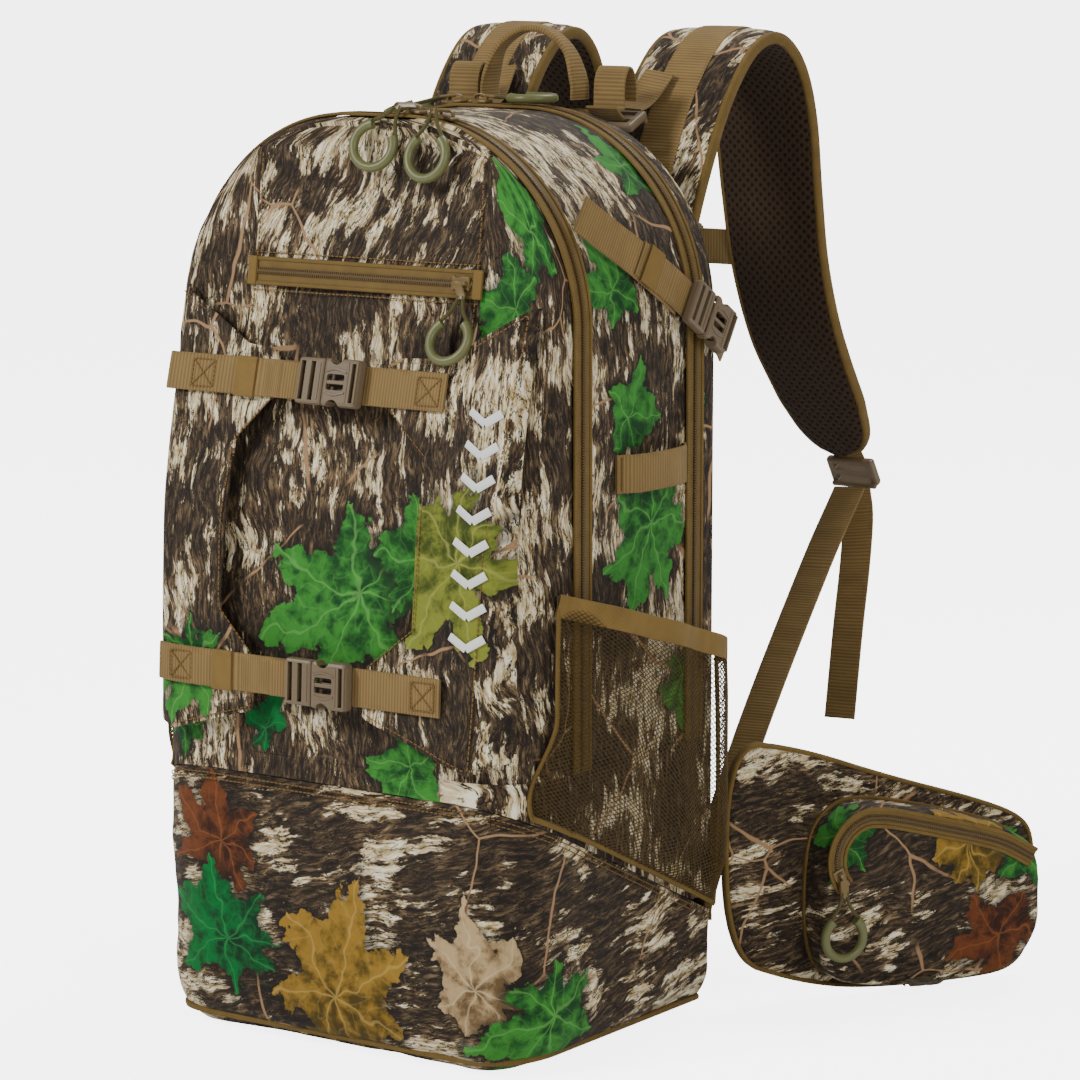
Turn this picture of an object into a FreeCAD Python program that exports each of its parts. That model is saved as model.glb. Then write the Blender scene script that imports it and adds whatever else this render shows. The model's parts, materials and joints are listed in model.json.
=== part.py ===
import FreeCAD, Part
import math
import os

Vec = FreeCAD.Vector
os.makedirs("parts", exist_ok=True)

# Hunting backpack with a panel-opening main compartment. Millimetres, +Z up, bag standing on z = 0.
# The front of the bag faces -Y, the wearer's back faces +Y, and the bag is symmetrical about X = 0.

# ---- driving dimensions ----
HALF_W = 153.0          # half width of the bag
TOP_Z = 605.0           # height of the bag body
ARC_X = 23.0            # centres of the two shoulder arcs of the arched outline
ARC_Z = 475.0
BOTTOM_R = 22.0         # rounded lower side edges
REAR_Y = 100.0          # rear face of the bag body
CORNER_Y = -70.0        # where the rounded front corners start
CORNER_R = 63.0
FRONT_PROFILE = [       # front face seen from the side, as (y, z)
    (-105, 0), (-124, 14), (-132, 40), (-133, 100), (-127, 155), (-121, 220),
    (-118, 285), (-112, 350), (-94, 425), (-79, 485), (-70, 545), (-66, 605),
]
WALL = 4.0              # padded fabric wall
GAP = 0.4               # clearance between pieces that part
FRONT_ZIP_Y = -55.0     # plane of the front compartment's zipper
REAR_ZIP_Y = 75.0       # plane of the main compartment's zipper
TAPE_W = 10.0           # visible width of one zipper tape
FOLD_Z = 192.0          # height where the opening panels fold
SEAM_Z = 118.0          # boot seam: z = SEAM_Z + SEAM_SLOPE * y
SEAM_SLOPE = -0.473
WEB_W = 25.0            # webbing width
WEB_T = 2.0
STANDOFF = 11.0         # harness wings in front of the bag's face
WING_T = 2.0
HARNESS_STRAPS = [      # name of the plug, height, left end, mouth of the socket and right end along X
    ("plug_upper", 437.0, -132.0, -5.0, 86.0),
    ("plug_lower", 247.0, -124.0, 5.0, 101.0),
]
POCKET_ZIP_Z = 503.0
POCKET_ZIP_HALF = 92.0
HIP_ANGLE = 60.0        # direction of a hip wing from +X
HIP_ROOT = Vec(157, 104, 0)
HIP_PAD_T = 13.0
HIP_ZIP_CENTRE = (98, 104)  # centre of the curved end of a pouch zipper, along the wing and up
HIP_ZIP_R = 28.0
HIP_ZIP_START = 25.0    # where its slider is parked, in degrees below the centre
CORD_D = 2.6            # pull cord
GRIP_R = 14.4           # centre radius of the open ring on a zip pull
GRIP_TUBE_R = 3.1
SPAN = 400.0            # larger than the bag, for cutting boxes


def front_y(z):
    """Front face at height z on the centre line."""
    for (y0, z0), (y1, z1) in zip(FRONT_PROFILE, FRONT_PROFILE[1:]):
        if z0 <= z <= z1:
            return y0 + (y1 - y0) * (z - z0) / (z1 - z0)
    return FRONT_PROFILE[-1][0]


def front_lean(z):
    """Lean of the front face at height z, in degrees back from upright."""
    return math.degrees(math.atan2(front_y(z + 10) - front_y(z - 10), 20))


# ---- helpers ----
def box(x0, x1, y0, y1, z0, z1):
    return Part.makeBox(x1 - x0, y1 - y0, z1 - z0, Vec(x0, y0, z0))


def prism(points, direction):
    return Part.Face(Part.makePolygon([*points, points[0]])).extrude(direction)


def union(shapes):
    result = shapes[0].fuse(shapes[1:]) if len(shapes) > 1 else shapes[0]
    return result.removeSplitter()


def place(shape, origin, x_dir, y_dir):
    """A copy of a shape drawn in local axes, moved to origin with its X and Y turned to these directions."""
    x = Vec(x_dir).normalize()
    z = x.cross(Vec(y_dir)).normalize()
    y = z.cross(x)
    matrix = FreeCAD.Matrix(
        x.x, y.x, z.x, origin.x, x.y, y.y, z.y, origin.y, x.z, y.z, z.z, origin.z, 0, 0, 0, 1
    )
    copy = shape.copy()
    copy.Placement = FreeCAD.Placement(matrix).multiply(copy.Placement)
    return copy


def mirrored(shape):
    return shape.mirror(Vec(0, 0, 0), Vec(1, 0, 0))


def both_sides(shape):
    return Part.makeCompound([shape, mirrored(shape)])


def ribbon(points, side, width, thick):
    """Flat strap along points, its width along side."""
    side = Vec(side).normalize()
    path = [Vec(*p) for p in points]
    wires = []
    for i, p in enumerate(path):
        before = (p - path[max(i - 1, 0)]) if i else path[1] - p
        after = (path[min(i + 1, len(path) - 1)] - p) if i < len(path) - 1 else before
        before.normalize()
        after = Vec(after).normalize()
        tangent = (before + after).normalize()
        across = (side - tangent * side.dot(tangent)).normalize()
        normal = across.cross(tangent)
        reach = thick / 2 / max(tangent.dot(after), 0.5)
        half = across * (width[i] if isinstance(width, list) else width) / 2
        corners = [p - half - normal * reach, p + half - normal * reach, p + half + normal * reach,
                   p - half + normal * reach]
        wires.append(Part.makePolygon([*corners, corners[0]]))
    return Part.makeLoft(wires, True, True)


def cord(points, diameter, name):
    """Round cord: straight runs joined by the largest tangent arcs that they allow."""
    edges = []
    start = points[0]
    radii = []
    for before, p, after in zip(points, points[1:], points[2:]):
        run_in = p - before
        run_out = after - p
        half_turn = run_in.getAngle(run_out) / 2
        reach = 0.45 * min(run_in.Length, run_out.Length)
        radii.append(reach / math.tan(half_turn))
        arc_in = p - Vec(run_in).normalize() * reach
        arc_out = p + Vec(run_out).normalize() * reach
        centre_side = ((arc_in - p).normalize() + (arc_out - p).normalize()).normalize()
        centre = p + centre_side * (radii[-1] / math.cos(half_turn))
        middle = centre - centre_side * radii[-1]
        edges.append(Part.LineSegment(start, arc_in).toShape())
        edges.append(Part.Arc(arc_in, middle, arc_out).toShape())
        start = arc_out
    edges.append(Part.LineSegment(start, points[-1]).toShape())
    path = Part.Wire(edges)
    profile = Part.Wire([Part.makeCircle(diameter / 2, points[0], points[1] - points[0])])
    solid = path.makePipeShell([profile], True, False)
    expected = math.pi * diameter ** 2 / 4 * path.Length
    print(name, "length", round(path.Length, 1), "radii", [round(r, 1) for r in radii],
          "volume ratio", round(solid.Volume / expected, 3))
    return solid


def save(name, shape):
    shape.exportStep("parts/" + name + ".step")


# ---- bag body ----
def arch(grow, y0, y1):
    """The arched outline, grown by grow, from y0 to y1."""
    half = HALF_W + grow
    top = TOP_Z + grow
    bottom = -grow
    corner = BOTTOM_R + grow
    radius = top - ARC_Z
    low = bottom + corner
    slant = math.sqrt(0.5)
    path = [
        Part.LineSegment(Vec(half, y0, low), Vec(half, y0, ARC_Z)),
        Part.Arc(Vec(half, y0, ARC_Z), Vec(ARC_X + radius * slant, y0, ARC_Z + radius * slant),
                 Vec(ARC_X, y0, top)),
        Part.LineSegment(Vec(ARC_X, y0, top), Vec(-ARC_X, y0, top)),
        Part.Arc(Vec(-ARC_X, y0, top), Vec(-ARC_X - radius * slant, y0, ARC_Z + radius * slant),
                 Vec(-half, y0, ARC_Z)),
        Part.LineSegment(Vec(-half, y0, ARC_Z), Vec(-half, y0, low)),
        Part.Arc(Vec(-half, y0, low), Vec(-half + corner * (1 - slant), y0, low - corner * slant),
                 Vec(-half + corner, y0, bottom)),
        Part.LineSegment(Vec(-half + corner, y0, bottom), Vec(half - corner, y0, bottom)),
        Part.Arc(Vec(half - corner, y0, bottom), Vec(half - corner * (1 - slant), y0, low - corner * slant),
                 Vec(half, y0, low)),
    ]
    wire = Part.Wire([edge.toShape() for edge in path])
    return Part.Face(wire).extrude(Vec(0, y1 - y0, 0))


def envelope(grow):
    """The whole bag body as one solid, grown by grow."""
    rear = REAR_Y + grow
    side = [Vec(-SPAN, y - grow, z) for y, z in FRONT_PROFILE]
    side[0].z = -grow
    side[-1].z = TOP_Z + grow
    side += [Vec(-SPAN, rear, TOP_Z + grow), Vec(-SPAN, rear, -grow)]
    profile = prism(side, Vec(2 * SPAN, 0, 0))
    half = HALF_W + grow
    radius = CORNER_R + grow
    flat = half - radius
    slant = radius * math.sqrt(0.5)
    plan = Part.Wire([
        Part.LineSegment(Vec(half, rear, -SPAN), Vec(half, CORNER_Y, -SPAN)).toShape(),
        Part.Arc(Vec(half, CORNER_Y, -SPAN), Vec(flat + slant, CORNER_Y - slant, -SPAN),
                 Vec(flat, CORNER_Y - radius, -SPAN)).toShape(),
        Part.LineSegment(Vec(flat, CORNER_Y - radius, -SPAN), Vec(-flat, CORNER_Y - radius, -SPAN)).toShape(),
        Part.Arc(Vec(-flat, CORNER_Y - radius, -SPAN), Vec(-flat - slant, CORNER_Y - slant, -SPAN),
                 Vec(-half, CORNER_Y, -SPAN)).toShape(),
        Part.LineSegment(Vec(-half, CORNER_Y, -SPAN), Vec(-half, rear, -SPAN)).toShape(),
        Part.LineSegment(Vec(-half, rear, -SPAN), Vec(half, rear, -SPAN)).toShape(),
    ])
    column = Part.Face(plan).extrude(Vec(0, 0, 3 * SPAN))
    return arch(grow, -SPAN / 2, rear).common(profile).common(column)


def below_seam(drop):
    """Everything under the boot seam, lowered by drop."""
    def height(y):
        return SEAM_Z + SEAM_SLOPE * y - drop
    corners = [Vec(-SPAN, -SPAN, -SPAN), Vec(-SPAN, SPAN, -SPAN), Vec(-SPAN, SPAN, height(SPAN)),
               Vec(-SPAN, -SPAN, height(-SPAN))]
    return prism(corners, Vec(2 * SPAN, 0, 0))


def between(y0, y1, z0):
    return box(-SPAN, SPAN, y0, y1, z0, 2 * SPAN)


def make_body():
    shell = envelope(0).cut(envelope(-WALL))
    save("boot", shell.common(below_seam(GAP)))
    upper = shell.cut(below_seam(0))
    low_block = box(-SPAN, SPAN, -SPAN, REAR_ZIP_Y - GAP / 2, -SPAN, FOLD_Z - GAP / 2)
    save("lower_body", upper.common(low_block))
    save("rear_gusset", upper.common(between(REAR_ZIP_Y + GAP / 2, SPAN, -SPAN)))
    save("lid_gusset", shell.common(between(FRONT_ZIP_Y + GAP / 2, REAR_ZIP_Y - GAP / 2, FOLD_Z + GAP / 2)))
    save("front_panel", shell.common(between(-SPAN, FRONT_ZIP_Y - GAP / 2, FOLD_Z + GAP / 2)))
    divider = arch(-WALL - 1, FRONT_ZIP_Y + 5, FRONT_ZIP_Y + 7)
    save("divider", divider.common(between(-SPAN, SPAN, FOLD_Z + 2)))
    back = arch(-6, REAR_Y + GAP, REAR_Y + 8)
    save("back_panel", back.common(between(-SPAN, SPAN, 30)))
    sheet = arch(-14, REAR_Y - WALL - 5, REAR_Y - WALL - 3).common(between(-SPAN, SPAN, 30))
    base = box(-122, 122, -95, 84, WALL + 1, WALL + 3.5)
    save("stiffener_sheets", Part.makeCompound([sheet, base]))
    save("frame_stays", both_sides(box(50, 70, REAR_Y - WALL - 9, REAR_Y - WALL - 6, 40, 560)))


def tape(y0, y1):
    """A zipper tape with its half of the coil, lying on the arch."""
    band = arch(1.9, y0, y1).cut(arch(0.3, y0, y1))
    return band.common(between(-SPAN, SPAN, FOLD_Z + 1))


def make_zippers():
    half = GAP / 2
    save("front_zip_front", tape(FRONT_ZIP_Y - TAPE_W, FRONT_ZIP_Y - half))
    save("lid_zip_tapes", Part.makeCompound([
        tape(FRONT_ZIP_Y + half, FRONT_ZIP_Y + TAPE_W), tape(REAR_ZIP_Y - TAPE_W, REAR_ZIP_Y - half)]))
    save("rear_zip_back", tape(REAR_ZIP_Y + half, REAR_ZIP_Y + TAPE_W))
    band = box(-POCKET_ZIP_HALF, POCKET_ZIP_HALF, -1.8, -0.6, -9.5, 9.5)
    band.rotate(Vec(0, 0, 0), Vec(1, 0, 0), -front_lean(POCKET_ZIP_Z))
    band.translate(Vec(0, front_y(POCKET_ZIP_Z), POCKET_ZIP_Z))
    save("pocket_zip", band)


# ---- side-release buckle, drawn with its mouth at x = 0, plug towards -X, wearing face at y = 0 ----
def socket():
    body = box(0, 28, -9.5, 0, -15.5, 15.5)
    cavity = box(-1, 21, -8, -1.5, -12, 12)
    windows = [box(8, 18, -8, -1.5, side * 13 - 3, side * 13 + 3) for side in (-1, 1)]
    slot = box(23.5, 26, -10, 1, -13, 13)
    return body.cut(cavity).cut(windows[0]).cut(windows[1]).cut(slot)


def plug():
    plate = box(-22, -GAP, -8.4, -1.1, -15, 15)
    slots = [box(-19.5, -15.5, -10, 1, -13, 13), box(-11, -7, -10, 1, -13, 13)]
    arms = [box(-1, 17, -6.4, -3.1, side * 7.5 - 1.5, side * 7.5 + 1.5) for side in (-1, 1)]
    tips = [box(11, 17, -6.4, -3.1, side * 9.5 - 1.3, side * 9.5 + 1.3) for side in (-1, 1)]
    guide = box(-1, 15, -5.6, -3.9, -1.5, 1.5)
    return union([plate.cut(slots[0]).cut(slots[1]), *arms, *tips, guide])


def on_front(shape, z, proud):
    """Moves a piece drawn against y = 0 onto the leaning front at height z, proud of the face."""
    lean = math.radians(front_lean(z))
    origin = Vec(0, front_y(z) - proud, z)
    return place(shape, origin, Vec(1, 0, 0), Vec(0, math.cos(lean), -math.sin(lean)))


def wing(outline):
    layer = envelope(STANDOFF + WING_T).cut(envelope(STANDOFF))
    cutter = prism([Vec(x, -SPAN, z) for x, z in outline], Vec(0, SPAN + CORNER_Y, 0))
    seam_x = max(abs(x) for x, _ in outline)
    seam = envelope(STANDOFF + 1).cut(envelope(GAP)).common(cutter)
    side = 1 if outline[0][0] > 0 else -1
    strip = box(min(side * (seam_x - 3), side * seam_x), max(side * (seam_x - 3), side * seam_x),
                -SPAN, SPAN, -SPAN, 2 * SPAN)
    return union([layer.common(cutter), seam.common(strip)])


def make_harness():
    save("wing_px", wing([(141, 209), (120, 199), (38, 227), (38, 257), (75, 285), (75, 397), (38, 427),
                          (38, 455), (78, 455), (141, 492)]))
    save("wing_nx", wing([(-141, 209), (-120, 203), (-52, 222), (-52, 257), (-80, 285), (-80, 397),
                          (-52, 427), (-52, 455), (-78, 457), (-141, 492)]))
    proud = STANDOFF + WING_T + 3.2
    straps = []
    sockets = []
    half = WEB_W / 2
    for name, z, left_x, mouth_x, right_x in HARNESS_STRAPS:
        right = box(mouth_x + 29, right_x, -WEB_T, 0, -half, half)
        left = box(left_x, mouth_x - 2, -WEB_T, 0, -half, half)
        keeper = box(-82, -66, -WEB_T - 1.2, -WEB_T, -half, half)
        straps += [on_front(piece, z, proud) for piece in (right, left, keeper)]
        moved = Vec(mouth_x, -WEB_T - 0.3, 0)
        female = socket()
        female.translate(moved)
        male = plug()
        male.translate(moved)
        sockets.append(on_front(female, z, proud))
        save(name, on_front(male, z, proud))
    save("harness_straps", Part.makeCompound(straps))
    save("harness_sockets", Part.makeCompound(sockets))


# ---- sides ----
COMP_DIR = Vec(0, 0.847, -0.532)
COMP_MOUTH = Vec(HALF_W + 3.6, 72, 476)


def make_compression():
    across = Vec(0, 0.532, 0.847)
    webbing = ribbon([(144, -43, 548.5), (153, 5, 518), (157, 36, 498.5), (157, 66, 480)], across, WEB_W, WEB_T)
    origin = COMP_MOUTH + Vec(2, 0, 0)
    male = place(plug(), origin, COMP_DIR, Vec(-1, 0, 0))
    female = place(socket(), origin, COMP_DIR, Vec(-1, 0, 0))
    tab = ribbon([(160, 97.6, 460), (157.5, 104, 456), (155.5, 110, 452)], across, WEB_W, WEB_T)
    keeper = ribbon([(157.1, 14, 512.4), (158.5, 26, 504.9)], across, WEB_W + 1, 1)
    save("compression_straps", Part.makeCompound([webbing, keeper, mirrored(webbing), mirrored(keeper)]))
    save("compression_sockets", Part.makeCompound([female, tab, mirrored(female), mirrored(tab)]))
    save("compression_plug_px", male)
    save("compression_plug_nx", mirrored(male))


def make_side_pieces():
    z = 380.0
    loop = ribbon([(154.6, -16, z), (162, -8, z), (165, 24, z), (162, 56, z), (154.6, 63, z)],
                  Vec(0, 0, 1), WEB_W, WEB_T)
    save("gear_loops", both_sides(loop))
    plan = [(157.2, -70), (172, -56), (184, -20), (187, 25), (182, 70), (170, 92), (157.2, 100)]
    wall = ribbon([(x, y, 190) for x, y in plan], Vec(0, 0, 1), 280, 1.6)
    top = [Vec(100, -120, 321.5), Vec(100, 160, 236), Vec(100, 160, 500), Vec(100, -120, 500)]
    above_top = prism(top, Vec(200, 0, 0))
    above_band = above_top.copy()
    above_band.translate(Vec(0, 0, -16))
    floor = prism([Vec(x, y, -60) for x, y in plan], Vec(0, 0, 400))
    floor = floor.common(below_seam(-4)).cut(below_seam(-2))
    mesh = union([wall.cut(above_band).cut(below_seam(-2)), floor])
    band = ribbon([(x, y, 190) for x, y in plan], Vec(0, 0, 1), 280, 2.4)
    trim = band.common(above_band).cut(above_top)
    trim.translate(Vec(0, 0, GAP))
    save("mesh_pockets", Part.makeCompound([mesh, trim, mirrored(mesh), mirrored(trim)]))


# ---- shoulder harness ----
PAD_PATH = [  # centre line of the right shoulder pad
    (80, 117, 486), (80, 130, 530), (80, 148, 575), (81, 171, 615), (82, 199, 643), (83, 228, 649),
    (85, 253, 630), (87, 267, 592), (90, 272, 540), (94, 277, 490), (99, 291, 440), (104, 315, 396),
    (109, 343, 352),
]
PAD_WIDTHS = [70, 76, 80, 80, 80, 80, 80, 78, 76, 74, 72, 66, 46]


def ladder_lock(width):
    plate = box(-width / 2, width / 2, -3, 3, -11, 11)
    slots = [box(-width / 2 + 5, width / 2 - 5, -4, 4, z - 2.5, z + 2.5) for z in (-5.5, 4.5)]
    lip = box(-width / 2, width / 2, -6, -3, -11, -8)
    return union([plate.cut(slots[0]).cut(slots[1]), lip])


def make_shoulder():
    pad = ribbon(PAD_PATH, Vec(1, 0, 0), PAD_WIDTHS, 12)
    save("shoulder_pad_px", pad)
    save("shoulder_pad_nx", mirrored(pad))
    lifter = ribbon([(60, 135.8, 603.3), (61, 140, 605), (63, 152, 612), (66, 166, 627)], Vec(1, 0, 0), WEB_W, WEB_T)
    tail = ribbon([(60, 113, 605), (60, 114, 621), (60, 117, 629), (60, 121, 632), (60, 125, 629),
                   (60, 128, 621), (60, 128.5, 608)], Vec(1, 0, 0), WEB_W, WEB_T)
    lower = ribbon([(134, 112, 60), (132, 119, 76), (126, 200, 182), (119, 300, 292), (115, 342, 329)],
                   Vec(1, 0, 0), WEB_W, WEB_T)
    free = ribbon([(115, 349.5, 322.5), (122, 340, 290), (126, 322, 230), (129, 306, 165)],
                  Vec(1, 0, 0), WEB_W, WEB_T)
    right_side = [lifter, tail, lower, free]
    save("strap_webbing", Part.makeCompound([*right_side, *[mirrored(piece) for piece in right_side]]))
    lifter_lock = place(ladder_lock(38), Vec(60, 121.5, 596), Vec(1, 0, 0), Vec(0, -0.42, 0.91))
    tip_lock = place(ladder_lock(38), Vec(112, 351, 337), Vec(1, 0, 0), Vec(0, 0.85, 0.53))
    save("ladder_locks", Part.makeCompound([lifter_lock, tip_lock, mirrored(lifter_lock), mirrored(tip_lock)]))
    y = 276.0
    z = 500.0
    female = place(socket(), Vec(-3, y, z), Vec(1, 0, 0), Vec(0, -1, 0))
    male = place(plug(), Vec(-3, y, z), Vec(1, 0, 0), Vec(0, -1, 0))
    half = WEB_W / 2
    right = box(26, 54, y - 2.4, y - 0.4, z - half, z + half)
    left = box(-54, -5, y - 2.4, y - 0.4, z - half, z + half)
    save("sternum_strap", Part.makeCompound([right, left, female]))
    save("sternum_plug", male)


def make_handle():
    centre = [(-37, 610), (-36, 622), (-28, 642), (-12, 655), (0, 657), (12, 655), (28, 642), (36, 622),
              (37, 610)]
    widths = [20, 20, 12, 11, 11, 11, 12, 20, 20]
    save("grab_handle", ribbon([(x, 112, z) for x, z in centre], Vec(0, 1, 0), widths, 3.0))


# ---- hip belt, drawn along +X with its outer face towards -Y, then turned into place ----
def on_hip(shape):
    angle = math.radians(HIP_ANGLE)
    return place(shape, HIP_ROOT, Vec(math.cos(angle), math.sin(angle), 0),
                 Vec(-math.sin(angle), math.cos(angle), 0))


def make_hip_belt():
    outline = [(4, 36), (4, 186), (60, 176), (130, 150), (200, 128), (238, 112), (246, 92), (246, 30),
               (232, 6), (200, 2), (110, 4), (60, 14)]
    wing_pad = prism([Vec(x, -HIP_PAD_T / 2, z) for x, z in outline], Vec(0, HIP_PAD_T, 0))
    face = -HIP_PAD_T / 2 - GAP
    pouch_outline = [(62, 34), (62, 106), (72, 130), (96, 142), (150, 130), (214, 112), (234, 92),
                     (234, 40), (216, 14), (150, 8), (84, 14)]
    pouch = prism([Vec(x, face - 30, z) for x, z in pouch_outline], Vec(0, 30, 0))
    hollow = prism([Vec(148 + (x - 148) * 0.95, face - 28, 76 + (z - 76) * 0.95) for x, z in pouch_outline],
                   Vec(0, 26, 0))
    belt = box(96, 238, HIP_PAD_T / 2 + 0.6, HIP_PAD_T / 2 + 2.8, 48, 86)
    clasp = box(60, 94, HIP_PAD_T / 2 + 0.6, HIP_PAD_T / 2 + 11, 42, 92)
    for side, turn in (("px", on_hip), ("nx", lambda shape: mirrored(on_hip(shape)))):
        save("hip_wing_" + side, turn(wing_pad))
        save("hip_pouch_" + side, turn(pouch.cut(hollow)))
        save("waist_strap_" + side, Part.makeCompound([turn(belt), turn(clasp)]))


# ---- zipper sliders and their cord pulls ----
PULL_ROUTE = [  # cord of a pull in its own plane: u across, v away from the slider
    (-1.6, 0), (-2.8, 8), (-7.5, 15), (-14, 22), (-15, 33), (-9, 43.5), (0, 46.5), (9, 43.5), (15, 33),
    (14, 22), (7.5, 15), (2.8, 8), (1.6, 0),
]
GRIP_V = 31.0           # centre of the ring along v
GRIP_GAP = 38.0         # half angle left open at the top of the ring, in degrees


def slider_body():
    """Slider drawn on z = 0, its length along X, with a bridge for the pull."""
    plate = box(-7, 7, -4.6, 4.6, 0, 2.6)
    posts = [box(x - 1.2, x + 1.2, -1.6, 1.6, 2.6, 5.4) for x in (-4.5, 4.5)]
    return union([plate, *posts, box(-5.7, 5.7, -1.6, 1.6, 5.4, 6.8)])


def make_pull(name, seat, along, outward, exit_point, across, away):
    """A slider at seat, and a cord loop with its open ring leaving exit_point."""
    side = Vec(outward).cross(Vec(along))
    save("slider_" + name, place(slider_body(), seat, along, side))
    u = Vec(across).normalize()
    v = Vec(away).normalize()
    route = [exit_point + u * a + v * b for a, b in PULL_ROUTE]
    save("cord_" + name, cord(route, CORD_D, "cord_" + name))
    centre = exit_point + v * GRIP_V
    gap = math.radians(GRIP_GAP)
    start = centre - u * GRIP_R * math.sin(gap) - v * GRIP_R * math.cos(gap)
    end = centre + u * GRIP_R * math.sin(gap) - v * GRIP_R * math.cos(gap)
    path = Part.Wire([Part.Arc(start, centre + v * GRIP_R, end).toShape()])
    tangent = v * math.sin(gap) - u * math.cos(gap)
    profile = Part.Wire([Part.makeCircle(GRIP_TUBE_R, start, tangent)])
    save("grip_" + name, path.makePipeShell([profile], True, False))


def on_arch(x, y, rise):
    """A point above the arch at x, with the direction along the arch and the way out."""
    radius = TOP_Z - ARC_Z
    if abs(x) <= ARC_X:
        return Vec(x, y, TOP_Z + rise), Vec(1, 0, 0), Vec(0, 0, 1)
    reach = (abs(x) - ARC_X) / radius
    sign = math.copysign(1, x)
    out = Vec(sign * reach, 0, math.sqrt(1 - reach ** 2))
    point = Vec(sign * ARC_X, y, ARC_Z) + out * (radius + rise)
    return point, Vec(out.z, 0, -out.x), out


def make_pulls():
    rise = 2.4
    seat, along, out = on_arch(24, FRONT_ZIP_Y, rise)
    make_pull("front_l", seat, along, out, Vec(20, -67, 614), Vec(0.88, 0, -0.47), Vec(-0.45, -0.30, -0.84))
    seat, along, out = on_arch(48, FRONT_ZIP_Y, rise)
    make_pull("front_r", seat, along, out, Vec(48, -67, 612), Vec(1, 0, 0), Vec(0.02, -0.30, -0.954))
    seat, along, out = on_arch(-38, REAR_ZIP_Y, rise)
    make_pull("rear_l", seat, along, out, Vec(-46, 70, 611.5), Vec(0, 1, 0), Vec(-0.955, 0, -0.297))
    seat, along, out = on_arch(-18, REAR_ZIP_Y, rise)
    make_pull("rear_r", seat, along, out, Vec(-10, 80, 612), Vec(0, 1, 0), Vec(1, 0, 0))
    lean = math.radians(front_lean(POCKET_ZIP_Z))
    out = Vec(0, -math.cos(lean), math.sin(lean))
    seat = Vec(78, front_y(POCKET_ZIP_Z), POCKET_ZIP_Z) + out * 2.4
    make_pull("pocket", seat, Vec(1, 0, 0), out, seat + Vec(3, -5, -7), Vec(1, 0, 0), Vec(0.03, -0.48, -0.877))
    face = -HIP_PAD_T / 2 - GAP - 30
    angle = math.radians(HIP_ANGLE)
    run = Vec(math.cos(angle), math.sin(angle), 0)
    out = Vec(math.sin(angle), -math.cos(angle), 0)
    start = math.radians(HIP_ZIP_START)
    turn_x, turn_z = HIP_ZIP_CENTRE
    seat = HIP_ROOT + run * (turn_x - HIP_ZIP_R * math.cos(start)) + out * (-face + 0.5)
    seat.z = turn_z - HIP_ZIP_R * math.sin(start)
    along = run * -math.sin(start) + Vec(0, 0, math.cos(start))
    exit_point = seat + out * 6.5 - Vec(0, 0, 8)
    for side in ("px", "nx"):
        points = [seat, along, out, exit_point, run, Vec(0, 0, -1)]
        if side == "nx":
            points = [Vec(-p.x, p.y, p.z) for p in points]
        make_pull("hip_" + side, *points)


make_body()
make_zippers()
make_harness()
make_compression()
make_side_pieces()
make_shoulder()
make_handle()
make_hip_belt()
make_pulls()
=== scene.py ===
"""Looks of a hunting backpack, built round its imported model.

Sizes are in millimetres in the bag's own frame (+Z up, -Y out of the front).
They become metres when a mesh is made.
"""

import json
import logging
import math
from collections.abc import Callable, Sequence
from dataclasses import dataclass, replace
from enum import Enum

import bpy
import numpy as np
from mathutils import Matrix, Vector, noise

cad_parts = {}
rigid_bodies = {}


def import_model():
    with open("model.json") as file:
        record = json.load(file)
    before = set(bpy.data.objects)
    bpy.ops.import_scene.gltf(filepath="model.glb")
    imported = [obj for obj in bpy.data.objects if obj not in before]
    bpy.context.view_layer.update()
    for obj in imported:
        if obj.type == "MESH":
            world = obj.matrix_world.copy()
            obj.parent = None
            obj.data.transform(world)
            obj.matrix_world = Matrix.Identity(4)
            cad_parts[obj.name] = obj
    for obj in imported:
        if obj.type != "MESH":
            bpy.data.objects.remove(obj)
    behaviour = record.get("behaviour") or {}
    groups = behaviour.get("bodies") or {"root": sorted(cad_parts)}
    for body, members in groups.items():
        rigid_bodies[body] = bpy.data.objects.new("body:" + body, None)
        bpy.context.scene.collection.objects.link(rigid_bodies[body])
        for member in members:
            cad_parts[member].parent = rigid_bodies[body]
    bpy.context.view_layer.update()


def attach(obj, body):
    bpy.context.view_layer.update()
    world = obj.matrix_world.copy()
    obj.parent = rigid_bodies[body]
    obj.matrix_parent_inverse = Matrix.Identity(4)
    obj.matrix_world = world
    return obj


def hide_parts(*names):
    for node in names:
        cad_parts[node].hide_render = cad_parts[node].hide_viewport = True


logging.basicConfig(level=logging.INFO, format="%(message)s")
log = logging.getLogger("backpack")

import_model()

MM = 0.001
DYE_DEPTH = 1.22
DYE_LEVEL = 0.86
Array = np.ndarray
Colour = tuple[float, float, float]
Surface = Callable[[Array, Array], Array]
Piece = bpy.types.Object
Numbers = Sequence[float]
Points = Sequence[Numbers]


# ---------------------------------------------------------------- numbers and curves
def srgb(red: float, green: float, blue: float) -> Colour:
    """Linear colour of an 8-bit sRGB one.

    Args:
        red, green, blue: The channels, from 0 to 255.

    Returns:
        The three linear values.
    """
    line = [((c / 255 + 0.055) / 1.055) ** 2.4 if c > 10 else c / 3294.6 for c in (red, green, blue)]
    grey = 0.3 * line[0] + 0.6 * line[1] + 0.1 * line[2]
    return tuple(max(0.0, grey + (c - grey) * DYE_DEPTH) * DYE_LEVEL for c in line)


def unit(vectors: Array) -> Array:
    """The rows of an array, each scaled to length 1."""
    return vectors / np.maximum(np.linalg.norm(vectors, axis=-1, keepdims=True), 1e-9)


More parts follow.
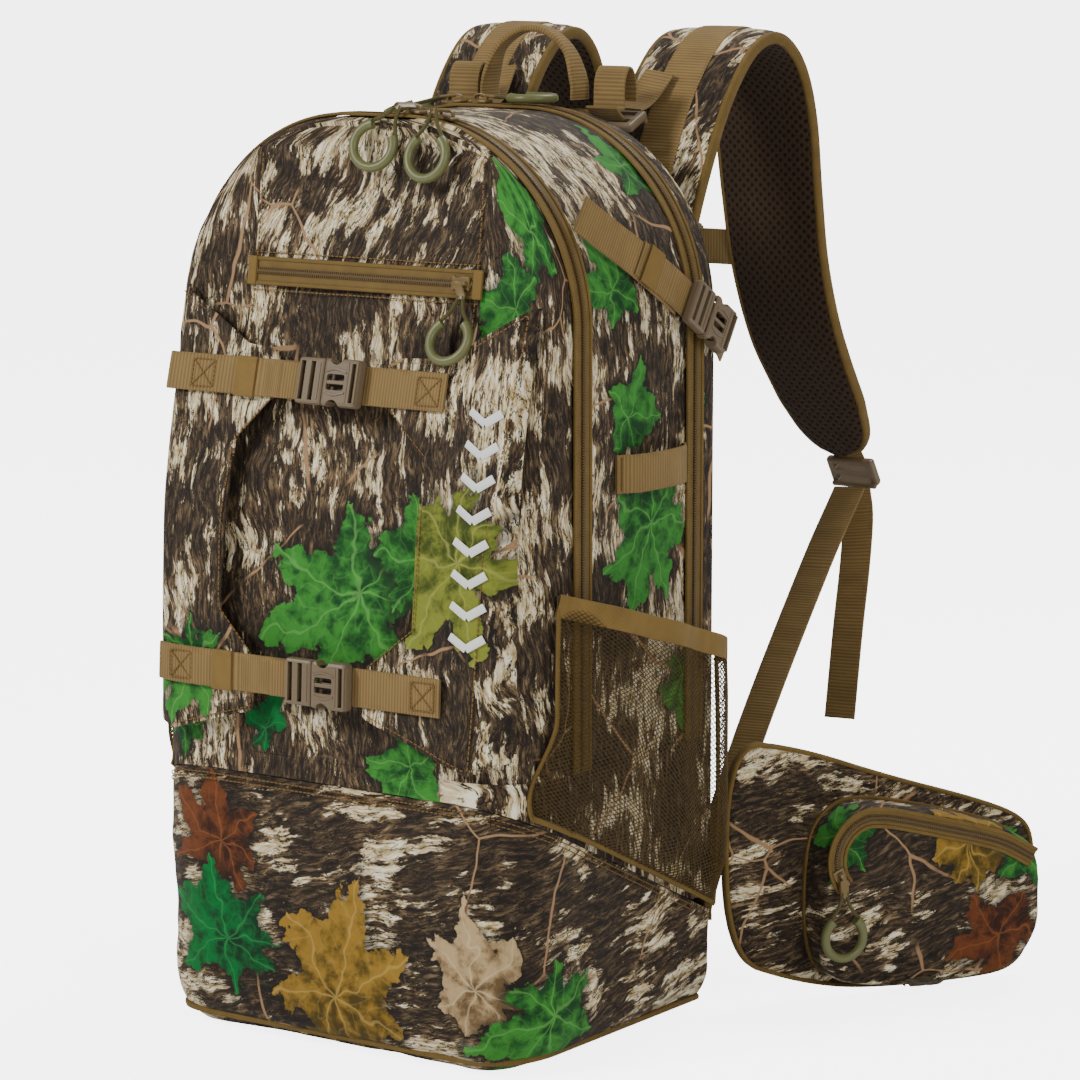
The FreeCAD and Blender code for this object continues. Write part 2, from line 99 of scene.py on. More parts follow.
def smooth_path(points: Points, step: float = 4.0, closed: bool = False) -> Array:
    """A Catmull-Rom curve through points.

    Args:
        points: The points that it passes, in millimetres.
        step: About how far apart its own points are.
        closed: Whether it returns to its start.

    Returns:
        Its points, one per row.
    """
    p = np.array(points, float)
    ends = [p[-1:], p, p[:2]] if closed else [2 * p[:1] - p[1:2], p, 2 * p[-1:] - p[-2:-1]]
    q = np.vstack(ends)
    out = []
    for a, b, c, d in zip(q, q[1:], q[2:], q[3:]):
        count = max(2, int(round(np.linalg.norm(c - b) / step)))
        t = np.linspace(0, 1, count, endpoint=False)[:, None]
        out.append(
            0.5 * (2 * b + (c - a) * t + (2 * a - 5 * b + 4 * c - d) * t**2 + (3 * b - a - 3 * c + d) * t**3)
        )
    if not closed:
        out.append(p[-1:])
    return np.vstack(out)


def along(path: Array) -> Array:
    """How far along a path each of its points lies."""
    return np.concatenate([[0.0], np.cumsum(np.linalg.norm(np.diff(path, axis=0), axis=1))])


def at_lengths(at: Array, place: Array, rows: Array) -> Array:
    """The rows given at the lengths place, read off at other lengths."""
    return np.stack([np.interp(at, place, rows[:, i]) for i in range(rows.shape[1])], 1)


def resample(path: Array, count: int) -> Array:
    """A path with count evenly spaced points."""
    place = along(path)
    return at_lengths(np.linspace(0, place[-1], count), place, path)


def spread(values: Numbers, count: int) -> Array:
    """Values stretched to count of them, by straight lines between."""
    return np.interp(np.linspace(0, 1, count), np.linspace(0, 1, len(values)), values)


# ---------------------------------------------------------------- mesh helpers
def deselect() -> None:
    """Leaves nothing selected."""
    bpy.ops.object.select_all(action="DESELECT")


def activate(piece: Piece) -> None:
    """Makes a piece the only selected and the active one."""
    deselect()
    piece.select_set(True)
    bpy.context.view_layer.objects.active = piece


def apply_modifier(piece: Piece, kind: str, **settings: object) -> None:
    """Adds a modifier of that kind with those settings, and applies it."""
    activate(piece)
    modifier = piece.modifiers.new(kind.lower(), kind)
    for key, value in settings.items():
        setattr(modifier, key, value)
    bpy.ops.object.modifier_apply(modifier=modifier.name)


def edit(piece: Piece, *steps: Callable[[], object]) -> None:
    """Runs edit-mode steps on the whole mesh of a piece."""
    activate(piece)
    bpy.ops.object.mode_set(mode="EDIT")
    bpy.ops.mesh.select_all(action="SELECT")
    for step in steps:
        step()
    bpy.ops.object.mode_set(mode="OBJECT")


def smooth(piece: Piece, angle: float = 40.0) -> None:
    """Shades a piece smooth, with edges sharper than angle, in degrees, left hard."""
    activate(piece)
    bpy.ops.object.shade_smooth_by_angle(angle=math.radians(angle))


def weld(piece: Piece, reach: float = 1e-5) -> None:
    """Merges the vertices of a piece that lie within reach, in metres."""
    edit(piece, lambda: bpy.ops.mesh.remove_doubles(threshold=reach))


def map_uv(piece: Piece, rule: Callable[[Vector, Vector], Numbers]) -> None:
    """Sets each corner's UV by a rule of its vertex's place and its present UV."""
    mesh = piece.data
    layer = mesh.uv_layers.active.data
    for loop in mesh.loops:
        layer[loop.index].uv = rule(mesh.vertices[loop.vertex_index].co, layer[loop.index].uv)


def shift_uv(piece: Piece, start: Numbers) -> None:
    """Moves the UV map of a piece by start, in millimetres."""
    layer = piece.data.uv_layers.active.data
    flat = np.zeros(len(layer) * 2, np.float32)
    layer.foreach_get("uv", flat)
    layer.foreach_set("uv", (flat.reshape(-1, 2) + np.array(start, np.float32) * MM).ravel())


def sheet_grid(
    name: str,
    surface: Surface,
    steps: tuple[int, int],
    size: tuple[float, float],
    inside: Numbers | None = None,
) -> Piece:
    """A grid laid on a surface, with a UV map in metres.

    Args:
        name: The piece's name.
        surface: Gives the points for parameters u and v from 0 to 1.
        steps: Faces along u and v.
        size: The real lengths along u and v, for the UV map.
        inside: A point that the faces look away from.
    """
    deselect()
    bpy.ops.mesh.primitive_grid_add(x_subdivisions=steps[0], y_subdivisions=steps[1], size=1)
    piece = bpy.context.object
    piece.name = name
    mesh = piece.data
    mesh.name = name
    flat = np.zeros(len(mesh.vertices) * 3, np.float32)
    mesh.vertices.foreach_get("co", flat)
    u, v = flat.reshape(-1, 3)[:, 0].astype(float) + 0.5, flat.reshape(-1, 3)[:, 1].astype(float) + 0.5
    points = surface(u, v) * MM
    mesh.vertices.foreach_set("co", points.astype(np.float32).ravel())
    loops = np.zeros(len(mesh.loops), np.int32)
    mesh.loops.foreach_get("vertex_index", loops)
    uv = np.stack([u[loops] * size[0], v[loops] * size[1]], 1) * MM
    mesh.uv_layers.active.data.foreach_set("uv", uv.astype(np.float32).ravel())
    mesh.update()
    if inside is not None:
        out = sum((p.center - Vector(inside) * MM).dot(p.normal) * p.area for p in mesh.polygons)
        if out < 0:
            mesh.flip_normals()
    return piece


def thicken(piece: Piece, thick: float, offset: float = -1.0, lining: int = 0) -> None:
    """Gives a sheet its thickness.

    Args:
        piece: The sheet.
        thick: Its thickness in millimetres.
        offset: -1 grows it inwards, 1 outwards, 0 both ways.
        lining: Added to the material number of its other side.
    """
    count = len(piece.data.polygons)
    apply_modifier(piece, "SOLIDIFY", thickness=thick * MM, offset=offset, use_even_offset=False)
    for polygon in piece.data.polygons[count : 2 * count]:
        polygon.material_index = lining


def crumple(
    piece: Piece, height: float, size: float, seed: float = 0.0, keep_edge: bool = True
) -> None:
    """Pushes the vertices of a piece in and out by smooth noise.

    Args:
        piece: The piece.
        height: The most that a vertex moves, in millimetres.
        size: About how wide a wrinkle is, in millimetres.
        seed: Moves the noise, so that pieces differ.
        keep_edge: Whether the open edge stays where it is.
    """
    mesh = piece.data
    fixed = set()
    if keep_edge:
        count: dict[tuple[int, int], int] = {}
        for polygon in mesh.polygons:
            for key in polygon.edge_keys:
                count[key] = count.get(key, 0) + 1
        fixed = {i for key, uses in count.items() if uses == 1 for i in key}
    shift = Vector((seed, seed * 1.7, seed * 0.6))
    for vertex in mesh.vertices:
        if vertex.index not in fixed:
            at = vertex.co / (size * MM) + shift
            swell = noise.noise(at) + 0.5 * noise.noise(at * 2.1)
            vertex.co += vertex.normal * (swell * height * MM)
    mesh.update()


def sweep(
    name: str,
    path: Array,
    side: Numbers | Array,
    width: float | Array,
    thick: float | Array,
    round_edge: float = 0.5,
    sides: int = 12,
    closed: bool = False,
) -> Piece:
    """A strap or tube: a rounded flat section carried along a path.

    Args:
        name: The piece's name.
        path: Centre points, in millimetres.
        side: The direction of the width, one for all or one for each point.
        width: Full width, one for all or one for each point.
        thick: Full thickness, one for all or one for each point.
        round_edge: 0 for a flat ellipse-like section, 1 for square corners.
        sides: Points round the section.
        closed: Whether the path is a ring.
    """
    count = len(path)
    tangent = np.gradient(path, axis=0)
    if closed:
        tangent = np.roll(path, -1, 0) - np.roll(path, 1, 0)
    tangent = unit(tangent)
    across = np.broadcast_to(np.array(side, float), path.shape)
    across = unit(across - tangent * (across * tangent).sum(1, keepdims=True))
    normal = np.cross(across, tangent)
    half_w = np.broadcast_to(np.array(width, float), (count,)) / 2
    half_t = np.broadcast_to(np.array(thick, float), (count,)) / 2
    power = 1 - 0.8 * round_edge
    place = along(path)

    def surface(u: Array, v: Array) -> Array:
        at = np.clip(np.rint(v * (count if closed else count - 1)).astype(int), 0, count)
        at = at % count if closed else at
        angle = u * 2 * math.pi
        c, s = np.cos(angle), np.sin(angle)
        a = (np.sign(c) * np.abs(c) ** power * half_w[at])[:, None]
        b = (np.sign(s) * np.abs(s) ** power * half_t[at])[:, None]
        return path[at] + across[at] * a + normal[at] * b

    girth = 2 * float(half_w.mean() + half_t.mean()) * 2
    length = float(place[-1])
    piece = sheet_grid(name, surface, (sides, count if closed else count - 1), (girth, length))
    steps = [lambda: bpy.ops.mesh.remove_doubles(threshold=1e-6)]
    if not closed:
        steps += [
            lambda: bpy.ops.mesh.select_all(action="DESELECT"),
            lambda: bpy.ops.mesh.select_non_manifold(),
            lambda: bpy.ops.mesh.edge_face_add() if sides < 5 else bpy.ops.mesh.fill_holes(sides=sides * 2),
            lambda: bpy.ops.mesh.select_all(action="SELECT"),
        ]
    steps.append(lambda: bpy.ops.mesh.normals_make_consistent(inside=False))
    edit(piece, *steps)
    smooth(piece, 50)
    return piece


def pillow(
    name: str,
    outline: Array,
    out: Numbers,
    depth: tuple[float, float],
    fullness: float = 5.0,
    rings: int = 14,
) -> Piece:
    """A padded form inside a closed outline.

    Args:
        name: The piece's name.
        outline: The closed outline in millimetres, seen from outside anticlockwise or not.
        out: The direction that the padding rises in.
        depth: How far the front rises above the outline and the back falls below it.
        fullness: Larger keeps the face flatter out to its edge.
        rings: Rings of faces from the middle to the edge, on each face.
    """
    centre = outline.mean(0)
    direction = unit(np.array(out, float))
    count = len(outline)
    right = unit(np.cross([0.0, 0.0, 1.0], direction) if abs(direction[2]) < 0.9 else np.array([1.0, 0, 0]))
    up = np.cross(direction, right)

    def surface(u: Array, v: Array) -> Array:
        at = np.rint(u * count).astype(int) % count
        ring = 1 - np.abs(2 * v - 1)
        reach = np.sin(ring * math.pi / 2) ** 0.9
        rise = (1 - reach**fullness) ** (1 / 2.2)
        height = np.where(v < 0.5, depth[0] * rise, -depth[1] * rise)
        return centre + (outline[at] - centre) * reach[:, None] + direction * height[:, None]

    piece = sheet_grid(name, surface, (count, rings * 2), (1, 1))
    edit(
        piece,
        lambda: bpy.ops.mesh.remove_doubles(threshold=1e-6),
        lambda: bpy.ops.mesh.dissolve_degenerate(threshold=1e-7),
        lambda: bpy.ops.mesh.normals_make_consistent(inside=False),
    )

    def face_on(place: Vector, _: Vector) -> tuple[float, float]:
        offset = np.array(place) - centre * MM
        return float(offset @ right), float(offset @ up)

    map_uv(piece, face_on)
    smooth(piece, 60)
    return piece


def joined(name: str, pieces: Sequence[Piece]) -> Piece:
    """Several meshes joined into one piece of that name."""
    deselect()
    for piece in pieces:
        piece.select_set(True)
    bpy.context.view_layer.objects.active = pieces[0]
    bpy.ops.object.join()
    pieces[0].name = name
    return pieces[0]


SIDES = (("px", 1), ("nx", -1))
MIRROR = Matrix.Diagonal((-1.0, 1.0, 1.0, 1.0))


def axes(origin: Numbers, x_dir: Numbers, y_dir: Numbers) -> Matrix:
    """The matrix that moves a piece from local axes to origin, its X and Y along these directions."""
    x = Vector(x_dir).normalized()
    z = x.cross(Vector(y_dir)).normalized()
    y = z.cross(x)
    matrix = Matrix((x, y, z)).transposed().to_4x4()
    matrix.translation = Vector(origin) * MM
    return matrix


def cube(name: str, low: Numbers, high: Numbers, bevel: float = 0.0) -> Piece:
    """A block between two corners in millimetres, with rounded edges."""
    deselect()
    centre = [(a + b) / 2 * MM for a, b in zip(low, high)]
    bpy.ops.mesh.primitive_cube_add(size=1, location=centre)
    piece = bpy.context.object
    piece.name = name
    piece.scale = [(b - a) * MM for a, b in zip(low, high)]
    activate(piece)
    bpy.ops.object.transform_apply(location=True, rotation=True, scale=True)
    if bevel:
        apply_modifier(piece, "BEVEL", width=bevel * MM, segments=2, limit_method="ANGLE")
    return piece


def cut(piece: Piece, *tools: Piece) -> None:
    """Cuts the tools out of a piece and removes them."""
    for tool in tools:
        apply_modifier(piece, "BOOLEAN", operation="DIFFERENCE", object=tool, solver="EXACT")
        bpy.data.objects.remove(tool)


def scatter(name: str, unit_piece: Piece, places: Sequence[Matrix]) -> Piece:
    """One mesh made of copies of a small piece.

    Args:
        name: The new piece's name.
        unit_piece: The small piece, which is removed.
        places: Where each copy goes.
    """
    mesh = unit_piece.data
    points = np.array([[*v.co, 1.0] for v in mesh.vertices])
    faces = [list(p.vertices) for p in mesh.polygons]
    stack = np.vstack([(points @ np.array(place).T)[:, :3] for place in places])
    count = len(points)
    all_faces = [[i + count * k for i in face] for k in range(len(places)) for face in faces]
    made = bpy.data.meshes.new(name)
    made.from_pydata(stack.tolist(), [], all_faces)
    made.update()
    piece = bpy.data.objects.new(name, made)
    bpy.context.scene.collection.objects.link(piece)
    bpy.data.objects.remove(unit_piece)
    return piece


# ---------------------------------------------------------------- finishes
Socket = bpy.types.NodeSocket
Value = Socket | float | Numbers


class Tree:
    """The node tree of one material."""

    def __init__(self, name: str) -> None:
        self.material = bpy.data.materials.new(f"{name}_look")
        self.material.use_nodes = True
        self.tree = self.material.node_tree
        self.tree.nodes.clear()
        self.uv = self.node("ShaderNodeTexCoord").outputs["UV"]
        self.place = self.node("ShaderNodeTexCoord").outputs["Object"]

    def node(self, kind: str, **settings: object) -> bpy.types.Node:
        """A new node of that kind, with those settings."""
        made = self.tree.nodes.new(kind)
        for key, value in settings.items():
            setattr(made, key, value)
        return made

    def put(self, socket: Socket, value: Value) -> None:
        """Links a socket to another, or sets its value."""
        if isinstance(value, Socket):
            self.tree.links.new(value, socket)
        else:
            socket.default_value = value

    def math(self, operation: str, first: Value, second: Value = 0.0, third: Value = 0.0) -> Socket:
        """The result of a Math node."""
        made = self.node("ShaderNodeMath", operation=operation)
        for socket, value in zip(made.inputs, (first, second, third)):
            self.put(socket, value)
        return made.outputs[0]

    def vector(self, operation: str, first: Value, second: Value) -> Socket:
        """The result of a Vector Math node with two vectors."""
        made = self.node("ShaderNodeVectorMath", operation=operation)
        self.put(made.inputs[0], first)
        self.put(made.inputs[1], second)
        return made.outputs["Value" if operation == "LENGTH" else "Vector"]

    def mapped(
        self, vector: Value, origin: tuple[float, float], turn: float, scale: tuple[float, float]
    ) -> Socket:
        """A vector measured from an origin, turned back by turn degrees and divided by a scale."""
        made = self.node("ShaderNodeMapping", vector_type="TEXTURE")
        self.put(made.inputs["Vector"], vector)
        made.inputs["Location"].default_value = (*origin, 0.0)
        made.inputs["Rotation"].default_value = (0.0, 0.0, math.radians(turn))
        made.inputs["Scale"].default_value = (*scale, 1.0)
        return made.outputs[0]

    def noise(self, vector: Value, scale: float, detail: float = 3.0, rough: float = 0.5) -> Socket:
        """A Noise Texture's factor."""
        made = self.node("ShaderNodeTexNoise")
        self.put(made.inputs["Vector"], vector)
        made.inputs["Scale"].default_value = scale
        made.inputs["Detail"].default_value = detail
        made.inputs["Roughness"].default_value = rough
        return made.outputs["Fac"]

    def step(self, value: Value, low: float, high: float) -> Socket:
        """A smooth step from 0 at low to 1 at high."""
        made = self.node("ShaderNodeMapRange", interpolation_type="SMOOTHSTEP")
        self.put(made.inputs["Value"], value)
        made.inputs["From Min"].default_value = low
        made.inputs["From Max"].default_value = high
        return made.outputs["Result"]

    def mix(self, factor: Value, first: Value, second: Value) -> Socket:
        """One colour mixed into another."""
        made = self.node("ShaderNodeMix", data_type="RGBA")
        for index, value in ((0, factor), (6, first), (7, second)):
            if not isinstance(value, (Socket, float)):
                value = (*value[:3], 1.0)
            self.put(made.inputs[index], value)
        return made.outputs[2]

    def ramp(self, value: Value, *stops: tuple[float, Colour]) -> Socket:
        """A colour ramp through stops of place and colour."""
        made = self.node("ShaderNodeValToRGB")
        self.put(made.inputs[0], value)
        elements = made.color_ramp.elements
        while len(elements) < len(stops):
            elements.new(0.5)
        for element, (at, colour) in zip(elements, stops):
            element.position = at
            element.color = (*colour, 1.0)
        return made.outputs[0]

    def surface(
        self,
        colour: Value,
        rough: Value,
        height: Value | None = None,
        bump: float = 0.3,
        depth: float = 0.3,
        **extra: Value,
    ) -> bpy.types.Material:
        """Ends the material with a surface shader.

        Args:
            colour: Base colour.
            rough: Roughness.
            height: Height for the bump, from 0 to 1.
            bump: Strength of the bump.
            depth: What a height of 1 stands for, in millimetres.
            extra: Other inputs of the shader, by name with underscores.

        Returns:
            The material.
        """
        shader = self.node("ShaderNodeBsdfPrincipled")
        if not isinstance(colour, Socket):
            colour = (*colour[:3], 1.0)
        self.put(shader.inputs["Base Color"], colour)
        self.put(shader.inputs["Roughness"], rough)
        shader.inputs["Specular IOR Level"].default_value = 0.16
        for key, value in extra.items():
            self.put(shader.inputs[key.replace("_", " ")], value)
        if height is not None:
            relief = self.node("ShaderNodeBump")
            relief.inputs["Strength"].default_value = bump
            relief.inputs["Distance"].default_value = depth * MM
            self.put(relief.inputs["Height"], height)
            self.put(shader.inputs["Normal"], relief.outputs[0])
        self.put(self.node("ShaderNodeOutputMaterial").inputs["Surface"], shader.outputs[0])
        return self.material


class Tone(Enum):
    """Dark, light and vein colours of a printed leaf."""

    GREEN = (srgb(22, 58, 28), srgb(66, 124, 60), srgb(118, 166, 100))
    DEEP = (srgb(8, 44, 24), srgb(26, 100, 52), srgb(70, 140, 84))
    MOSS = (srgb(58, 66, 30), srgb(120, 126, 66), srgb(160, 160, 104))
    OCHRE = (srgb(70, 58, 28), srgb(140, 112, 62), srgb(184, 160, 108))
    RUST = (srgb(46, 26, 18), srgb(98, 58, 38), srgb(136, 92, 64))
    BEIGE = (srgb(96, 78, 56), srgb(174, 152, 120), srgb(206, 190, 160))


@dataclass(frozen=True)
class Leaf:
    """A leaf in a print, placed in the millimetres of its panel's UV map.

    Attributes:
        at: Its centre.
        size: From its centre to its tip.
        turn: The direction of its tip, in degrees.
        tone: Its colours.
        lobes: How many lobes it has.
    """

    at: tuple[float, float]
    size: float
    turn: float
    tone: Tone
    lobes: int = 7

    def paint(self, tree: Tree, place: Socket, ragged: Socket, under: Value) -> Socket:
        """Lays the leaf and its shadow over a colour.

        Args:
            tree: The material's tree.
            place: The UV map in millimetres.
            ragged: Noise that roughens the outline and mottles the face.
            under: The colour below.

        Returns:
            The colour with the leaf.
        """
        local = tree.mapped(place, self.at, self.turn, (self.size * 1.12, self.size * 0.92))
        split = tree.node("ShaderNodeSeparateXYZ")
        tree.put(split.inputs[0], local)
        x, y = split.outputs[:2]
        radius = tree.vector("LENGTH", local, (0.0, 0.0, 0.0))
        angle = tree.math("ARCTAN2", y, x)
        turns = tree.math("MULTIPLY", angle, self.lobes / (2 * math.pi))
        notch = tree.math("MULTIPLY", tree.math("PINGPONG", turns, 0.5), 2.0)
        teeth = tree.math("PINGPONG", tree.math("MULTIPLY", turns, 4.0), 0.5)
        reach = tree.math("MULTIPLY_ADD", tree.math("COSINE", angle), 0.2, 0.84)
        lobe = tree.math("MULTIPLY_ADD", tree.math("POWER", notch, 1.1), -0.42, 1.0)
        lobe = tree.math("MULTIPLY_ADD", teeth, -0.16, lobe)
        edge = tree.math("MULTIPLY_ADD", ragged, 0.5, tree.math("MULTIPLY", reach, lobe))
        inside = tree.math("SUBTRACT", tree.math("SUBTRACT", edge, 0.22), radius)
        ray = tree.math("MULTIPLY", tree.math("MULTIPLY", notch, radius), math.pi / self.lobes)
        vein = tree.math("SUBTRACT", 1.0, tree.step(ray, 0.004, 0.018))
        rib = tree.math("PINGPONG", tree.math("MULTIPLY", tree.math("SUBTRACT", radius, ray), 5.5), 0.5)
        vein = tree.math(
            "MAXIMUM", vein, tree.math("MULTIPLY", tree.math("SUBTRACT", 1.0, tree.step(rib, 0.0, 0.09)), 0.4)
        )
        dark, light, line = self.tone.value
        shade = tree.math("MULTIPLY_ADD", notch, -0.16, ragged)
        shade = tree.math("MULTIPLY_ADD", tree.math("SINE", tree.math("MULTIPLY_ADD", x, 2.4, y)), 0.09, shade)
        face = tree.mix(tree.step(shade, 0.26, 0.6), dark, light)
        face = tree.mix(tree.math("MULTIPLY", vein, 0.4), face, line)
        shadow = tree.math("MULTIPLY", tree.step(inside, -0.2, 0.0), 0.72)
        under = tree.mix(shadow, under, srgb(24, 20, 17))
        return tree.mix(tree.step(inside, 0.0, 0.025), under, face)


@dataclass(frozen=True)
class Camo:
    """A printed fabric of bark, twigs and leaves.

    Attributes:
        name: The material's name.
        grain: The direction of the bark's streaks, in degrees.
        leaves: The leaves that lie on it.
        pale: Adds to the share of pale flakes.
        shift: Moves the bark, so that panels differ.
        streak: Width and length of a streak in millimetres.
    """

    name: str
    grain: float = 90.0
    leaves: tuple[Leaf, ...] = ()
    pale: float = 0.0
    shift: float = 0.0
    streak: tuple[float, float] = (40.0, 9.0)

    def bark(self, tree: Tree, place: Socket) -> Socket:
        """The colour of the bark and the twigs."""
        moved = tree.vector("ADD", place, (self.shift, self.shift * 1.3, self.shift))
        warp = tree.node("ShaderNodeTexNoise")
        tree.put(warp.inputs["Vector"], moved)
        warp.inputs["Scale"].default_value = 0.022
        bent = tree.vector("ADD", moved, tree.vector("MULTIPLY", warp.outputs["Color"], (20.0, 20.0, 0.0)))
        grain = tree.mapped(bent, (0.0, 0.0), self.grain, self.streak)
        streak = tree.noise(grain, 1.0, 10.0, 0.7)
        patch = tree.noise(moved, 0.017, 3.0, 0.6)
        fine = tree.noise(grain, 3.1, 6.0, 0.7)
        base = tree.ramp(
            fine,
            (0.35, srgb(22, 18, 15)),
            (0.46, srgb(56, 45, 35)),
            (0.54, srgb(98, 81, 62)),
            (0.63, srgb(150, 130, 102)),
        )
        base = tree.mix(tree.math("MULTIPLY", tree.step(patch, 0.62, 0.42), 0.6), base, srgb(30, 25, 21))
        flakes = tree.math("MULTIPLY_ADD", tree.math("SUBTRACT", patch, 0.515 - self.pale), 0.75, streak)
        cream = tree.ramp(
            fine, (0.38, srgb(96, 78, 56)), (0.47, srgb(190, 172, 136)), (0.6, srgb(238, 230, 208))
        )
        colour = tree.mix(tree.step(flakes, 0.55, 0.58), base, cream)
        crack = tree.math("ABSOLUTE", tree.math("SUBTRACT", tree.noise(grain, 1.7, 7.0, 0.62), 0.5))
        colour = tree.mix(tree.step(crack, 0.02, 0.008), colour, srgb(22, 18, 16))
        cells = tree.node("ShaderNodeTexVoronoi", feature="DISTANCE_TO_EDGE")
        tree.put(cells.inputs["Vector"], bent)
        cells.inputs["Scale"].default_value = 0.0085
        gate = tree.step(tree.noise(moved, 0.012, 1.0), 0.47, 0.52)
        twig = tree.math("MULTIPLY", tree.step(cells.outputs["Distance"], 0.009, 0.004), gate)
        return tree.mix(twig, colour, srgb(150, 122, 96))

    def material(self) -> bpy.types.Material:
        """The finished material."""
        tree = Tree(self.name)
        place = tree.vector("MULTIPLY", tree.uv, (1000.0, 1000.0, 0.0))
        ragged = tree.noise(place, 0.09, 5.0, 0.62)
        drift = tree.node("ShaderNodeTexNoise")
        tree.put(drift.inputs["Vector"], place)
        drift.inputs["Scale"].default_value = 0.03
        swung = tree.vector("MULTIPLY_ADD", drift.outputs["Color"], (34.0, 34.0, 0.0))
        tree.put(swung.node.inputs[2], tree.vector("SUBTRACT", place, (17.0, 17.0, 0.0)))
        colour = self.bark(tree, place)
        for leaf in self.leaves:
            colour = leaf.paint(tree, swung, ragged, colour)
        weave = tree.node("ShaderNodeTexWave", bands_direction="DIAGONAL")
        tree.put(weave.inputs["Vector"], place)
        weave.inputs["Scale"].default_value = 0.42
        height = tree.math("MULTIPLY_ADD", tree.noise(place, 0.16, 3.0), 0.8, weave.outputs["Fac"])
        return tree.surface(colour, 0.72, height, 0.28, 0.22, Sheen_Weight=0.04)


@dataclass(frozen=True)
class Webbing:
    """Woven strap, tape or binding, ribbed across its length.

    Attributes:
        name: The material's name.
        colour: Its colour.
        rib: The distance between ribs in millimetres.
        deep: How deep the ribs look.
    """

    name: str
    colour: Colour
    rib: float = 2.3
    deep: float = 0.5

    def material(self) -> bpy.types.Material:
        """The finished material."""
        tree = Tree(self.name)
        place = tree.vector("MULTIPLY", tree.uv, (1000.0, 1000.0, 0.0))
        split = tree.node("ShaderNodeSeparateXYZ")
        tree.put(split.inputs[0], place)
        rows = tree.math("PINGPONG", split.outputs[1], self.rib / 2)
        rows = tree.math("DIVIDE", rows, self.rib / 2)
        columns = tree.math("DIVIDE", tree.math("PINGPONG", split.outputs[0], self.rib * 0.75), self.rib * 0.75)
        height = tree.math("MULTIPLY_ADD", columns, 0.3, rows)
        worn = tree.noise(place, 0.08, 4.0)
        # Painted shade and highlight: the rib rows darken the colour towards 0.38 of it in the grooves between ribs and
        # lighten it towards 1.4 of it on the rib tops; the noise adds wear on top of that.
        dark = tuple(c * 0.38 for c in self.colour)
        light = tuple(min(1.0, c * 1.4) for c in self.colour)
        shade = tree.math("MULTIPLY_ADD", rows, 0.5, tree.math("MULTIPLY", worn, 0.6))
        return tree.surface(tree.mix(shade, dark, light), 0.74, height, self.deep, 0.35, Sheen_Weight=0.03)


@dataclass(frozen=True)
class Moulded:
    """Plastic, rubber or painted metal.

    Attributes:
        name: The material's name.
        colour: Its colour.
        rough: Its roughness.
        metal: 1 for bare metal.
    """

    name: str
    colour: Colour
    rough: float = 0.42
    metal: float = 0.0

    def material(self) -> bpy.types.Material:
        """The finished material."""
        tree = Tree(self.name)
        grain = tree.noise(tree.place, 900.0, 2.0)
        worn = tree.mix(tree.noise(tree.place, 60.0, 3.0), tuple(c * 0.88 for c in self.colour), self.colour)
        return tree.surface(worn, self.rough, grain, 0.12, 0.1, Metallic=self.metal, Specular_IOR_Level=0.35)


@dataclass(frozen=True)
class Spacer:
    """Knitted air mesh with rows of small holes.

    Attributes:
        name: The material's name.
        colour: Its colour.
        pitch: The distance between holes in millimetres.
    """

    name: str
    colour: Colour
    pitch: float = 4.8

    def material(self) -> bpy.types.Material:
        """The finished material."""
        tree = Tree(self.name)
        place = tree.vector("MULTIPLY", tree.uv, (1000 / self.pitch, 1000 / self.pitch, 0.0))
        turned = tree.mapped(place, (0.0, 0.0), 45.0, (1.0, 1.0))
        cells = tree.node("ShaderNodeTexVoronoi")
        cells.inputs["Randomness"].default_value = 0.12
        cells.inputs["Scale"].default_value = 1.0
        tree.put(cells.inputs["Vector"], turned)
        rim = tree.step(cells.outputs["Distance"], 0.2, 0.44)
        # Painted shade: the holes are drawn at 0.3 of the colour, as the shade that falls into them; the same mask also
        # drives the bump.
        colour = tree.mix(rim, tuple(c * 0.3 for c in self.colour), self.colour)
        return tree.surface(colour, 0.85, rim, 0.8, 0.9, Sheen_Weight=0.03)


